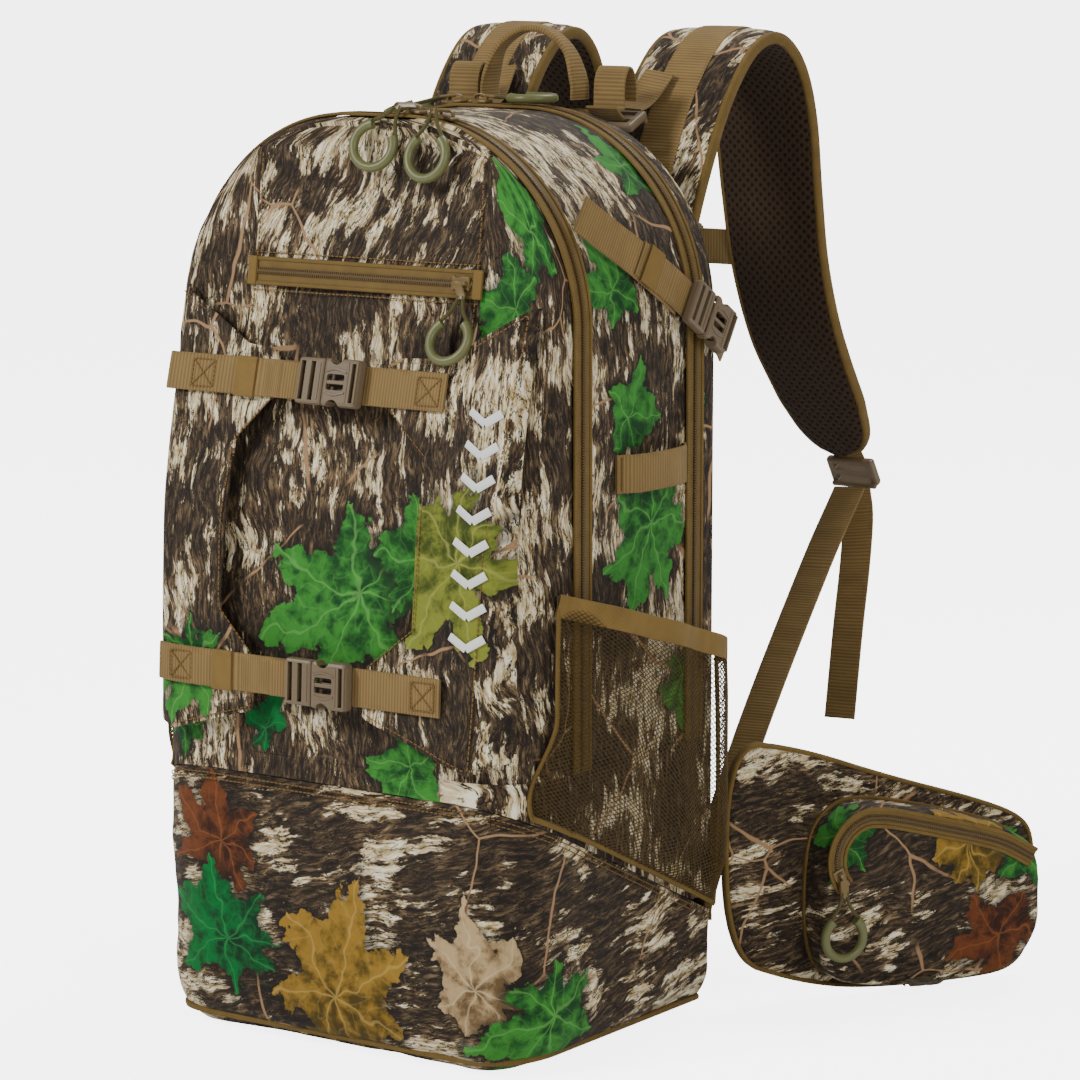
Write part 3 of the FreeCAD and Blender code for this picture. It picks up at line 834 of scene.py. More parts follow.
COYOTE = srgb(125, 105, 74)
FINISHES: dict[str, Camo | Webbing | Moulded | Spacer] = {
    "front": Camo(
        "camo_front",
        98.0,
        (
            Leaf((22, 300), 74, 205, Tone.GREEN),
            Leaf((70, 330), 50, 35, Tone.GREEN, 5),
            Leaf((66, 196), 40, 250, Tone.GREEN, 5),
            Leaf((-52, 208), 22, 70, Tone.DEEP, 5),
        ),
    ),
    "crown": Camo("camo_crown", 64.0, (), 0.07, 340.0),
    "corner": Camo(
        "camo_corner",
        100.0,
        (
            Leaf((-116, 350), 58, 80, Tone.GREEN),
            Leaf((150, 545), 56, 100, Tone.GREEN, 5),
            Leaf((118, 494), 44, 250, Tone.GREEN, 5),
            Leaf((-128, 205), 34, 60, Tone.GREEN, 5),
        ),
        0.02,
        710.0,
    ),
    "side": Camo(
        "camo_side",
        90.0,
        (
            Leaf((24, 340), 56, 250, Tone.GREEN),
            Leaf((2, 414), 36, 70, Tone.GREEN, 5),
            Leaf((-16, 500), 40, 110, Tone.GREEN, 5),
            Leaf((54, 585), 34, 90, Tone.GREEN, 5),
            Leaf((62, 236), 36, 280, Tone.GREEN, 5),
        ),
        0.03,
        1200.0,
    ),
    "wing": Camo(
        "camo_wing",
        93.0,
        (Leaf((112, 336), 62, 240, Tone.MOSS), Leaf((-110, 250), 44, 250, Tone.GREEN)),
        0.06,
        1630.0,
    ),
    "boot": Camo(
        "camo_boot",
        12.0,
        (
            Leaf((-84, 128), 46, 150, Tone.RUST),
            Leaf((-74, 68), 56, 160, Tone.DEEP),
            Leaf((12, 38), 72, 80, Tone.OCHRE),
            Leaf((122, 58), 50, 100, Tone.BEIGE),
            Leaf((176, 36), 60, 240, Tone.GREEN),
        ),
        0.03,
        2100.0,
        (46.0, 11.0),
    ),
    "hip": Camo(
        "camo_hip",
        15.0,
        (
            Leaf((26, 28), 44, 80, Tone.OCHRE),
            Leaf((70, 20), 38, 20, Tone.GREEN, 5),
            Leaf((52, -34), 40, 200, Tone.RUST, 5),
            Leaf((-70, 40), 34, 100, Tone.GREEN, 5),
        ),
        0.02,
        2750.0,
        (42.0, 10.0),
    ),
    "pad": Camo(
        "camo_pad",
        70.0,
        (Leaf((30, 120), 34, 80, Tone.GREEN, 5), Leaf((40, 420), 40, 250, Tone.GREEN, 5)),
        0.05,
        3300.0,
    ),
    "lining": Webbing("lining", srgb(88, 79, 66), 0.8, 0.2),
    "webbing": Webbing("webbing", COYOTE),
    "binding": Webbing("binding", srgb(108, 89, 56), 1.1, 0.4),
    "keeper": Webbing("keeper", srgb(120, 99, 64), 0.9, 0.3),
    "tape": Webbing("tape", srgb(108, 90, 60), 0.9, 0.3),
    "coil": Moulded("coil", srgb(84, 66, 38), 0.4),
    "net": Moulded("net", srgb(80, 64, 36), 0.7),
    "buckle": Moulded("buckle", srgb(110, 96, 78), 0.42),
    "slider": Moulded("slider", srgb(112, 94, 64), 0.36),
    "cord": Webbing("cord", srgb(98, 92, 62), 1.3, 0.7),
    "grip": Moulded("grip", srgb(102, 103, 70), 0.4),
    "air": Spacer("air_mesh", srgb(58, 45, 34)),
    "thread": Moulded("thread", srgb(112, 88, 54), 0.7),
    "mark": Moulded("mark", srgb(232, 232, 228), 0.6),
    "metal": Moulded("metal", srgb(170, 170, 172), 0.35, 1.0),
    "board": Moulded("board", srgb(60, 60, 58), 0.6),
}


def finish(*names: str) -> list[bpy.types.Material]:
    """The materials of those finishes, each made once."""
    out = []
    for name in names:
        wanted = f"{FINISHES[name].name}_look"
        out.append(bpy.data.materials.get(wanted) or FINISHES[name].material())
    return out


# ---------------------------------------------------------------- camera, light and floor
class Studio:
    """The camera, the lights and the floor."""

    AZIMUTH = math.radians(35)
    ELEVATION = math.radians(9)
    DISTANCE = 2800.0
    LENS = 140.0
    TARGET = (0.0, 0.0, 300.0)
    ASIDE = 68.0
    RAISED = 21.333333
    LIGHTS = (((-1.5, -2.7, 2.3), 0.8, 112), ((2.6, -1.2, 1.5), 1.2, 42), ((0.3, 1.4, 2.6), 1.0, 50))
    FLOOR_GLOW = 4.6
    AMBIENT = 0.34
    BACKDROP = 5.0

    def camera(self) -> None:
        """Puts the camera to the right of the front, a little above it."""
        turn, tilt = self.AZIMUTH, self.ELEVATION
        right = np.array([math.cos(turn), math.sin(turn), 0.0])
        ahead = np.array([-math.sin(turn) * math.cos(tilt), math.cos(turn) * math.cos(tilt), -math.sin(tilt)])
        up = np.cross(right, ahead)
        centre = np.array(self.TARGET) + right * self.ASIDE + up * self.RAISED
        place = (centre - ahead * self.DISTANCE) * MM
        bpy.ops.object.camera_add(location=place, rotation=Vector(ahead).to_track_quat("-Z", "Y").to_euler())
        camera = bpy.context.object
        camera.data.lens = self.LENS
        camera.data.sensor_width = 36
        camera.data.dof.use_dof = False
        bpy.context.scene.camera = camera

    def light(self, place: Numbers, size: float, power: float) -> None:
        """A square soft light that looks at the middle of the bag."""
        spot = Vector(place)
        aim = (Vector((0, 0, 0.3)) - spot).to_track_quat("-Z", "Y").to_euler()
        bpy.ops.object.light_add(type="AREA", location=spot, rotation=aim)
        lamp = bpy.context.object.data
        lamp.size = size
        lamp.energy = power

    def build(self) -> None:
        """Sets up the whole studio."""
        self.camera()
        for place, size, power in self.LIGHTS:
            self.light(place, size, power)
        deselect()
        bpy.ops.mesh.primitive_plane_add(size=14, location=(0, 2, -0.001))
        floor = bpy.context.object
        floor.name = "floor"
        tree = Tree("floor")
        white = (1.0, 1.0, 1.0, 1.0)
        glow = tree.math("MULTIPLY", tree.node("ShaderNodeLightPath").outputs["Is Camera Ray"], self.FLOOR_GLOW)
        floor.data.materials.append(
            tree.surface((0.96, 0.96, 0.96), 0.9, Emission_Color=white, Emission_Strength=glow)
        )
        world = bpy.data.worlds.new("studio")
        bpy.context.scene.world = world
        world.use_nodes = True
        backdrop = world.node_tree.nodes["Background"]
        links = world.node_tree.links
        seen = world.node_tree.nodes.new("ShaderNodeLightPath")
        level = world.node_tree.nodes.new("ShaderNodeMapRange")
        level.inputs["To Min"].default_value = self.AMBIENT
        level.inputs["To Max"].default_value = self.BACKDROP
        links.new(seen.outputs["Is Camera Ray"], level.inputs["Value"])
        links.new(level.outputs["Result"], backdrop.inputs["Strength"])
        backdrop.inputs["Color"].default_value = (1.0, 1.0, 1.0, 1.0)


# ---------------------------------------------------------------- sub-assemblies
def settle(
    piece: Piece, body: str, finishes: Sequence[str], nodes: Sequence[str] = ()
) -> Piece:
    """Gives a piece its finishes, ties it to its body and hides the solids that it replaces.

    Args:
        piece: The piece.
        body: The body that it moves with.
        finishes: Its finishes, one for each material number.
        nodes: The solids that it replaces.
    """
    for material in finish(*finishes):
        piece.data.materials.append(material)
    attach(piece, body)
    if nodes:
        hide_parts(*nodes)
    log.info("%s: rides on %s, %d faces", piece.name, body, len(getattr(piece.data, "polygons", [])))
    return piece


@dataclass(frozen=True)
class Pull:
    """A zipper slider with its cord loop and open ring.

    Attributes:
        name: Ends the names of its bodies and solids.
        leaves: Where the cord leaves the slider.
        across: The direction across the loop.
        away: The direction from the slider to the end of the loop.
        seat: Centre of the slider on the teeth.
        line: The direction of the teeth.
        out: The direction away from the bag.
    """

    name: str
    leaves: tuple[float, float, float]
    across: tuple[float, float, float]
    away: tuple[float, float, float]
    seat: tuple[float, float, float]
    line: tuple[float, float, float]
    out: tuple[float, float, float]

    ROUTE = (
        (-1.6, 0), (-2.8, 8), (-7.5, 15), (-14, 22), (-15, 33), (-9, 43.5), (0, 46.5), (9, 43.5), (15, 33),
        (14, 22), (7.5, 15), (2.8, 8), (1.6, 0),
    )
    DIAMETER = 2.6
    RING = (31.0, 14.4, 3.1, 38.0)

    def spot(self, across: float, away: float) -> Array:
        """A point in the plane of the loop, in millimetres."""
        return np.array(self.leaves) + unit(np.array(self.across)) * across + unit(np.array(self.away)) * away

    def cord(self) -> Piece:
        """The cord, a spline from the slider round through the ring and back."""
        points = [self.spot(a, b) * MM for a, b in self.ROUTE]
        curve = bpy.data.curves.new(f"pull_cord_{self.name}", "CURVE")
        curve.dimensions = "3D"
        curve.bevel_depth = self.DIAMETER / 2 * MM
        curve.bevel_resolution = 2
        spline = curve.splines.new("NURBS")
        spline.points.add(len(points) - 1)
        for slot, point in zip(spline.points, points):
            slot.co = (*point, 1.0)
        spline.order_u = 3
        spline.use_endpoint_u = True
        spline.resolution_u = 6
        piece = bpy.data.objects.new(curve.name, curve)
        bpy.context.scene.collection.objects.link(piece)
        return piece

    def ring(self) -> Piece:
        """The open moulded ring, thicker at its two ends."""
        centre, radius, tube, gap = self.RING
        angles = np.radians(np.linspace(gap, 360 - gap, 40))
        path = np.array([self.spot(-radius * math.sin(a), centre - radius * math.cos(a)) for a in angles])
        swell = np.abs(np.linspace(-1, 1, 40)) ** 6
        normal = np.cross(unit(np.array(self.across)), unit(np.array(self.away)))
        return sweep(
            f"ring_{self.name}",
            path,
            normal,
            2 * tube * (1 + 0.1 * swell),
            2 * tube * (1 + 0.16 * swell),
            0.1,
            10,
        )

    def slider(self) -> Piece:
        """The slider: a waisted plate with a bridge, and the small plate that the cord passes through."""
        plate = cube("plate", (-7, -4.6, 0.2), (7, 4.6, 2.6), 1.0)
        for side in (-1, 1):
            deselect()
            bpy.ops.mesh.primitive_cylinder_add(
                vertices=16, radius=6 * MM, depth=8 * MM, location=(-2 * MM, side * 9.4 * MM, 0)
            )
            cut(plate, bpy.context.object)
        bridge = sweep(
            "bridge",
            smooth_path([(-5, 0, 2.4), (-4.4, 0, 5.2), (0, 0, 6.3), (4.4, 0, 5.2), (5, 0, 2.4)], 1.5),
            (0, 1, 0),
            3.0,
            1.3,
            0.6,
            8,
        )
        body = joined(f"slider_look_{self.name}", [plate, bridge])
        side = np.cross(np.array(self.out), np.array(self.line))
        body.data.transform(axes(self.seat, self.line, tuple(side)))
        start = np.array(self.seat) + unit(np.array(self.out)) * 5.6
        if np.linalg.norm(self.spot(0, 0) - start) > 2.5:
            link = sweep(
                "link", np.array([start, self.spot(0, 0.5), self.spot(0, 3)]), self.across, 6.5, 2.2, 0.5, 10
            )
            body = joined(body.name, [body, link])
        return body

    def build(self) -> None:
        """Makes the slider, the cord and the ring."""
        body = f"pull_{self.name}"
        cord = settle(self.cord(), body, ("cord",), (f"cord_{self.name}",))
        ring = settle(self.ring(), body, ("grip",), (f"grip_{self.name}",))
        settle(self.slider(), f"slider_{self.name}", ("slider",), (f"slider_{self.name}",))
        size = cord_length([self.spot(a, b) for a, b in self.ROUTE])
        tuple(self.spot(-1.6, 0) * MM)


def cord_length(points: Sequence[Array]) -> float:
    """The length of a clamped quadratic spline with these control points, in the points' unit."""
    knots = [points[0]] + [(a + b) / 2 for a, b in zip(points[1:-1], points[2:-1])] + [points[-1]]
    total = 0.0
    for start, corner, end in zip(knots, points[1:-1], knots[1:]):
        t = np.linspace(0, 1, 30)[:, None]
        curve = start * (1 - t) ** 2 + 2 * corner * t * (1 - t) + end * t**2
        total += float(np.linalg.norm(np.diff(curve, axis=0), axis=1).sum())
    return total


# ---------------------------------------------------------------- the bag's form
class Form:
    """The outer shape of the bag's body, in millimetres."""

    HALF = 153.0
    TOP = 605.0
    ARC_X = 23.0
    ARC_Z = 475.0
    RADIUS = 130.0
    BOTTOM = 34.0
    REAR = 100.0
    CORNER_Y = -70.0
    CORNER_R = 63.0
    FOLD = 192.0
    FRONT_ZIP = -55.0
    REAR_ZIP = 75.0
    PROFILE_Z = (0, 14, 40, 100, 155, 220, 285, 350, 425, 485, 545, 605)
    PROFILE_Y = (-105, -124, -132, -133, -127, -121, -118, -112, -94, -79, -70, -66)
    SEAM = (118.0, -0.473)
    RISE = 283.0
    SHOULDER = 487.2
    ARCH = 1020.4

    def half_width(self, z: Array) -> Array:
        """Half the width at height z."""
        low = np.clip(self.BOTTOM - z, 0, self.BOTTOM)
        high = np.clip(z - self.ARC_Z, 0, self.RADIUS)
        base = self.HALF - self.BOTTOM + np.sqrt(np.maximum(self.BOTTOM**2 - low**2, 0))
        return np.where(z > self.ARC_Z, self.ARC_X + np.sqrt(np.maximum(self.RADIUS**2 - high**2, 0)), base)

    def profile(self, z: Array) -> Array:
        """The front face's y at height z, smoothed."""
        around = [np.interp(z + d, self.PROFILE_Z, self.PROFILE_Y) for d in (-12, -6, 0, 6, 12)]
        flat = np.interp(z, self.PROFILE_Z, self.PROFILE_Y)
        return np.where(z < 26, flat, sum(around) / 5)

    def plan(self, t: Array) -> tuple[Array, Array]:
        """The outline seen from above, at t along it from the middle of the front."""
        a, sign = np.abs(t), np.sign(t)
        flat = self.HALF - self.CORNER_R
        bend = self.CORNER_R * math.pi / 2
        angle = np.clip((a - flat) / self.CORNER_R, 0, math.pi / 2)
        x = np.where(a <= flat, a, flat + self.CORNER_R * np.sin(angle))
        y = np.where(a <= flat, self.CORNER_Y - self.CORNER_R, self.CORNER_Y - self.CORNER_R * np.cos(angle))
        run = a - flat - bend
        y = np.where(run > 0, np.minimum(self.CORNER_Y + run, self.REAR), y)
        turn = flat + bend + self.REAR - self.CORNER_Y
        x = np.where(a > turn, np.maximum(self.HALF - (a - turn), 0), x)
        return x * np.where(sign == 0, 1, sign), y

    def blend_max(self, a: Array, b: Array, soft: float = 7.0) -> Array:
        """The larger of two values, rounded where they cross."""
        high = np.maximum(a, b)
        return high + soft * np.log(np.exp((a - high) / soft) + np.exp((b - high) / soft)) - soft * 0.1

    def skin(self, t: Array, z: Array) -> Array:
        """Points at t along the plan outline and height z."""
        x, y = self.plan(t)
        return np.stack([x * self.half_width(z) / self.HALF, self.blend_max(y, self.profile(z)), z], 1)

    def outward(self, ring: Array) -> Array:
        """The level outward normal at each point of a ring round the body."""
        normal = unit(np.cross(np.gradient(ring, axis=0), [0.0, 0.0, 1.0]))
        return normal * np.sign((normal * ring * [1, 1, 0]).sum(1))[:, None]

    def band_top(self, y: Array) -> Array:
        """The height of the boot's seam under a point of the plan outline at y."""
        return self.seam(self.blend_max(y, self.profile(np.full_like(y, 150.0))))

    def front(self, x: Array, z: Array, out: float = 0.0) -> Array:
        """Points on the front face at x and z, moved out from it."""
        reach = np.clip((np.abs(x) - 90.0) / self.CORNER_R, 0, 0.999)
        y = self.blend_max(self.CORNER_Y - self.CORNER_R * np.sqrt(1 - reach**2), self.profile(z))
        return np.stack([x, y - out, z], 1)

    def seam(self, y: Array, drop: float = 0.0) -> Array:
        """The height of the boot's seam at y."""
        return self.SEAM[0] + self.SEAM[1] * y - drop

    def arch(self, s: Array, grow: float = 0.0) -> tuple[Array, Array, Array, Array]:
        """The arched outline of the opening panels.

        Args:
            s: The way along it from the fold on the +X side, over the top, to the fold on the -X side.
            grow: How far outside the body it lies.

        Returns:
            x, z, and the two components of the outward normal.
        """
        half = self.ARCH / 2
        sign = np.where(s <= half, 1.0, -1.0)
        a = np.where(s <= half, s, self.ARCH - s)
        angle = np.clip((a - self.RISE) / self.RADIUS, 0, math.pi / 2)
        nx, nz = np.cos(angle), np.sin(angle)
        top = np.clip(a - self.SHOULDER, 0, self.ARC_X)
        x = self.ARC_X + self.RADIUS * nx - top
        z = np.where(a <= self.RISE, self.FOLD + a, self.ARC_Z + self.RADIUS * nz)
        return sign * (x + nx * grow), z + nz * grow, sign * nx, nz

    def arch_path(self, y: float, grow: float) -> tuple[Array, Array]:
        """Centre points and outward normals of a line that runs along the arch."""
        s = np.linspace(0.5, self.ARCH - 0.5, 240)
        x, z, nx, nz = self.arch(s, grow)
        return np.stack([x, np.full_like(x, y), z], 1), np.stack([nx, np.zeros_like(x), nz], 1)


FORM = Form()


class Stitching:
    """Rows of short stitches."""

    def row(self, name: str, path: Array, out: Array, pitch: float = 3.4) -> Piece:
        """Stitches along a path.

        Args:
            name: The piece's name.
            path: Points on the fabric, in millimetres.
            out: The outward direction, one for all or one for each point.
            pitch: The distance from one stitch to the next.
        """
        place = along(path)
        count = max(2, int(place[-1] / pitch))
        at = (np.arange(count) + 0.5) * place[-1] / count
        points = at_lengths(at, place, path)
        tangent = unit(at_lengths(at, place, np.gradient(path, axis=0)))
        normal = unit(at_lengths(at, place, np.broadcast_to(np.array(out, float), path.shape)))
        stitch = cube("stitch", (-1.15, -0.35, -0.25), (1.15, 0.35, 0.45))
        places = [axes(p, t, np.cross(n, t)) for p, t, n in zip(points, tangent, normal)]
        return scatter(name, stitch, places)

    def box(
        self,
        name: str,
        origin: Numbers,
        x_dir: Numbers,
        y_dir: Numbers,
        size: tuple[float, float],
    ) -> Piece:
        """A stitched box with its two diagonals, on a strap."""
        w, h = size[0] / 2, size[1] / 2
        turn = np.array(axes((0, 0, 0), x_dir, y_dir))[:3, :3]
        out = turn[:, 2]
        lines = [
            ((-w, -h), (w, -h)),
            ((w, -h), (w, h)),
            ((w, h), (-w, h)),
            ((-w, h), (-w, -h)),
            ((-w, -h), (w, h)),
            ((-w, h), (w, -h)),
        ]
        rows = []
        for number, (a, b) in enumerate(lines):
            ends = np.array([[*a, 0.0], [*b, 0.0]])
            path = resample(np.array(origin) + ends @ turn.T, 8)
            rows.append(self.row(f"{name}_{number}", path, out, 2.6))
        return joined(name, rows)


STITCHING = Stitching()


@dataclass(frozen=True)
class Zipper:
    """A coil zipper between two tapes.

    Attributes:
        name: Starts the names of its pieces.
        path: The line of its coil, in millimetres.
        out: The outward direction at each point.
        tape: The visible width of one tape.
        bodies: The body on each side, the first being to the left of the direction of travel.
    """

    name: str
    path: Array
    out: Array
    tape: float
    bodies: tuple[str, str]

    PITCH = 1.7

    def side(self) -> Array:
        """The direction to the left of the path at each point."""
        return unit(np.cross(self.out, unit(np.gradient(self.path, axis=0))))

    def half(self, number: int, nodes: Sequence[str] = ()) -> None:
        """One tape with its half of the coil and a binding cord along its outer edge."""
        sign = 1 if number == 0 else -1
        side = self.side() * sign
        middle = self.path + side * (self.tape / 2 + 0.25)
        tape = sweep(f"{self.name}_tape_{number}", middle, side, self.tape - 0.3, 1.1, 0.9, 10)
        settle(tape, self.bodies[number], ("tape",), nodes)
        edge = self.path + side * (self.tape - 0.6) + self.out * 0.5
        piping = sweep(f"{self.name}_piping_{number}", edge, side, 2.8, 2.2, 0.2, 8)
        settle(piping, self.bodies[number], ("binding",))
        place = along(self.path)
        count = int(place[-1] / self.PITCH)
        at = (np.arange(count) + 0.25 + 0.5 * number) * place[-1] / count
        points = at_lengths(at, place, self.path + side * 0.75 + self.out)
        tangents = at_lengths(at, place, np.gradient(self.path, axis=0))
        outs = at_lengths(at, place, self.out)
        tooth = cube("tooth", (-0.5, -1.35, -0.6), (0.5, 1.35, 0.75))
        places = [axes(p, t, np.cross(n, t)) for p, t, n in zip(points, tangents, outs)]
        coil = scatter(f"{self.name}_coil_{number}", tooth, places)
        settle(coil, self.bodies[number], ("coil",))


class BagBody:
    """The sewn panels of the bag."""

    THICK = 3.4
    MIDDLE = 92.0

    def panel(
        self,
        name: str,
        surface: Surface,
        steps: tuple[int, int],
        start: tuple[float, float],
        size: tuple[float, float],
        puff: float,
        seed: float,
    ) -> Piece:
        """A padded fabric panel on a surface.

        Args:
            name: The piece's name.
            surface: Gives points for the panel's own lengths u and v, in millimetres.
            steps: Faces along u and v.
            start: The lengths at its first corner.
            size: How far it goes along u and v.
            puff: How far the fabric swells.
            seed: Moves the wrinkles.

        Returns:
            The piece, with its lining as the second material.
        """

        def part(u: Array, v: Array) -> Array:
            return surface(start[0] + u * size[0], start[1] + v * size[1])

        piece = sheet_grid(name, part, steps, size, (0, 0, 300))
        shift_uv(piece, start)
        crumple(piece, puff, 70.0, seed)
        crumple(piece, puff * 0.35, 22.0, seed + 9)
        thicken(piece, self.THICK, -1.0, 1)
        smooth(piece, 50)
        return piece

    def front(self) -> None:
        """The opening front: a middle panel, a crown above the pocket and two corners."""
        half = self.MIDDLE

        def middle(x: Array, z: Array) -> Array:
            return FORM.front(x * np.minimum(FORM.half_width(z), half) / half, z)

        low = self.panel("front_middle", middle, (60, 100), (-half, FORM.FOLD + 0.1), (2 * half, 305), 3.0, 1.0)
        settle(low, "front_flap", ("front", "lining"), ("front_panel",))
        crown = self.panel("front_crown", middle, (60, 34), (-half, 508), (2 * half, 96.6), 1.2, 2.0)
        settle(crown, "front_flap", ("crown", "lining"))

        def corner(t: Array, z: Array) -> Array:
            x, y = FORM.plan(t)
            wide = np.maximum(FORM.half_width(z), half) - half
            x = np.where(x > 0, 1, -1) * (half + (np.abs(x) - half) * wide / (FORM.HALF - half))
            return np.stack([x, FORM.blend_max(y, FORM.profile(z)), z], 1)

        for side in (1, -1):
            start = (side * half, FORM.FOLD + 0.1)
            piece = self.panel(
                f"front_corner_{side}", corner, (36, 130), start, (side * 111.7, 391), 1.6, 3.0 + side
            )
            settle(piece, "front_flap", ("corner", "lining"))

        def brow(s: Array, k: Array) -> Array:
            x, z, _, nz = FORM.arch(s, -0.8 - 2.5 * (k / 16) ** 3)
            return np.stack([x, FORM.FRONT_ZIP - 0.3 - k * np.clip(nz * 1.1, 0.2, 0.82), z], 1)

        piece = self.panel("front_brow", brow, (90, 5), (300, 0), (420, 16), 0.0, 5.0)
        settle(piece, "front_flap", ("crown", "lining"))
        for side in (1, -1):
            z = np.linspace(FORM.FOLD + 4, 580, 60)
            x = np.minimum(FORM.half_width(z), half) * side
            row = STITCHING.row(f"front_stitches_{side}", FORM.front(x - side * 3.0, z, 1.4), (0, -1, 0.1))
            settle(row, "front_flap", ("thread",))

    def lid(self) -> None:
        """The gusset of the main panel, from one zipper to the other."""
        def gusset(y: Array, s: Array) -> Array:
            x, z, _, _ = FORM.arch(s)
            return np.stack([x, y, z], 1)

        # each half's print starts at its own fold
        for name, halves, seed, nodes in (
            ("lid_px", gusset, 7.0, ("lid_gusset",)),
            ("lid_nx", lambda y, s: gusset(y, FORM.ARCH - s), 8.0, ()),
        ):
            piece = self.panel(name, halves, (36, 150), (FORM.FRONT_ZIP + 0.3, 0.5), (129.4, 509.7), 2.0, seed)
            shift_uv(piece, (0, FORM.FOLD))
            settle(piece, "main_lid", ("side", "lining"), nodes)
        divider = pillow("divider_look", self.arch_outline(-6, 196), (0, 1, 0), (0.8, 0.8), 30.0, 6)
        for vertex in divider.data.vertices:
            vertex.co.y = (FORM.FRONT_ZIP + 6 + (0.7 if vertex.normal.y > 0 else -0.7)) * MM
        settle(divider, "main_lid", ("lining",), ("divider",))

    def arch_outline(self, grow: float, low: float, y: float = 0.0) -> Array:
        """A closed arched outline, grown by grow and cut off at a height."""
        s = np.linspace(max(low - FORM.FOLD, 0), FORM.ARCH - max(low - FORM.FOLD, 0), 120)
        x, z, _, _ = FORM.arch(s, grow)
        arc = np.stack([x, np.full_like(x, y), z], 1)
        if low < FORM.FOLD:
            down = np.linspace(FORM.FOLD, low + 20, 14)
            right = np.stack([np.full(14, x[0]), np.full(14, y), down], 1)
            turn = np.radians(np.linspace(0, 90, 6))[1:]
            bend = np.stack([x[0] - 20 + 20 * np.cos(turn), np.full(5, y), low + 20 - 20 * np.sin(turn)], 1)
            side = np.vstack([right, bend])
            arc = np.vstack([side[::-1], arc, side * np.array([-1, 1, 1])])
        base = np.stack(
            [np.linspace(arc[-1, 0], arc[0, 0], 40)[1:-1], np.full(38, y), np.full(38, arc[0, 2])], 1
        )
        return np.vstack([arc, base])

    def lower(self) -> None:
        """The fixed band between the boot and the fold, and the fixed rear edge."""
        end = 333.7  # where the plan outline meets the rear face

        def band(t: Array, k: Array) -> Array:
            low = FORM.band_top(FORM.plan(t)[1]) + 0.2
            return FORM.skin(t, low + (FORM.FOLD - 0.1 - low) * k / 100)

        half = self.MIDDLE
        for name, start, size, material in (
            ("lower_front", -half, 2 * half, "front"),
            ("lower_px", half, end - half, "side"),
            ("lower_nx", -half, half - end, "corner"),
        ):
            front, right = name == "lower_front", name == "lower_px"
            piece = self.panel(name, band, (60 if front else 70, 24), (start, 0), (size, 100), 1.4, 11.0)
            settle(piece, "pack", (material, "lining"), ("lower_body",) if front else ())
            map_uv(piece, lambda place, uv: (place.y if right else uv[0], place.z))

        def gusset(y: Array, s: Array) -> Array:
            x, z, _, _ = FORM.arch(np.clip(s, 0, FORM.ARCH))
            z = z - np.maximum(-s, 0) - np.maximum(s - FORM.ARCH, 0)
            return np.stack([x, y, np.maximum(z, FORM.seam(y) + 0.3)], 1)

        rear = self.panel("rear_edge", gusset, (8, 260), (FORM.REAR_ZIP + 0.3, -110), (24.5, 1240.4), 0.6, 13.0)
        settle(rear, "pack", ("side", "lining"), ("rear_gusset",))
        wall = pillow("rear_wall", self.arch_outline(-1, 74, 97.5), (0, 1, 0), (1.6, 1.6), 40.0, 6)
        settle(wall, "pack", ("lining",), ("stiffener_sheets", "frame_stays"))

    def boot(self) -> None:
        """The one-piece bottom, its piping and its stitches."""
        whole = 511.96  # half the plan outline

        def cup(t: Array, k: Array) -> Array:
            top = FORM.band_top(FORM.plan(t)[1]) - 0.5
            z = top * np.clip(1 - k / 100, 0, 1) ** 1.25
            p = FORM.skin(t, z)
            inward = np.clip((k - 100) / 30, 0, 1)[:, None]
            return p * (1 - inward) + np.array([0.0, -8.0, 1.2]) * inward

        def laid(u: Array, v: Array) -> Array:
            return cup((u * 2 - 1) * whole, v * 130)

        piece = sheet_grid("boot_look", laid, (220, 52), (2 * whole, 1), (0, 0, 60))
        map_uv(piece, lambda place, uv: (uv[0] - whole * MM, place.z))
        weld(piece)
        crumple(piece, 3.6, 80.0, 17.0)
        crumple(piece, 0.7, 20.0, 18.0)
        for vertex in piece.data.vertices:
            vertex.co.z = max(vertex.co.z, 0.3 * MM)
        thicken(piece, 3.0, -1.0, 1)
        smooth(piece, 50)
        settle(piece, "pack", ("boot", "lining"), ("boot",))
        t = np.linspace(-whole, whole, 260)
        ring = FORM.skin(t, np.full_like(t, 9.0))
        piping = sweep("base_piping", ring + FORM.outward(ring) * 1.4, (0, 0, 1), 4.4, 3.6, 0.2, 8)
        settle(piping, "pack", ("binding",))
        t = np.linspace(-333, 333, 240)
        base = FORM.skin(t, np.full_like(t, 150.0))
        for number, drop in enumerate((3.5, 7.0)):
            line = FORM.skin(t, FORM.seam(base[:, 1], drop))
            normal = FORM.outward(line)
            row = STITCHING.row(f"boot_stitches_{number}", line + normal * 1.5, normal)
            settle(row, "pack", ("thread",))

    def zippers(self) -> None:
        """The two zippers that open the panels."""
        for name, y, bodies, nodes in (
            (
                "front_zip",
                FORM.FRONT_ZIP,
                ("front_flap", "main_lid"),
                (("front_zip_front",), ("lid_zip_tapes",)),
            ),
            ("rear_zip", FORM.REAR_ZIP, ("main_lid", "pack"), ((), ("rear_zip_back",))),
        ):
            zipper = Zipper(name, *FORM.arch_path(y, 1.1), 9.0, bodies)
            backwards = zipper.side()[0, 1] > 0
            if backwards:
                zipper = replace(zipper, bodies=bodies[::-1])
            for number in (0, 1):
                zipper.half(1 - number if backwards else number, nodes[number])

    def build(self) -> None:
        """Makes every panel."""
        self.front()
        self.lid()
        self.lower()
        self.boot()
        self.zippers()


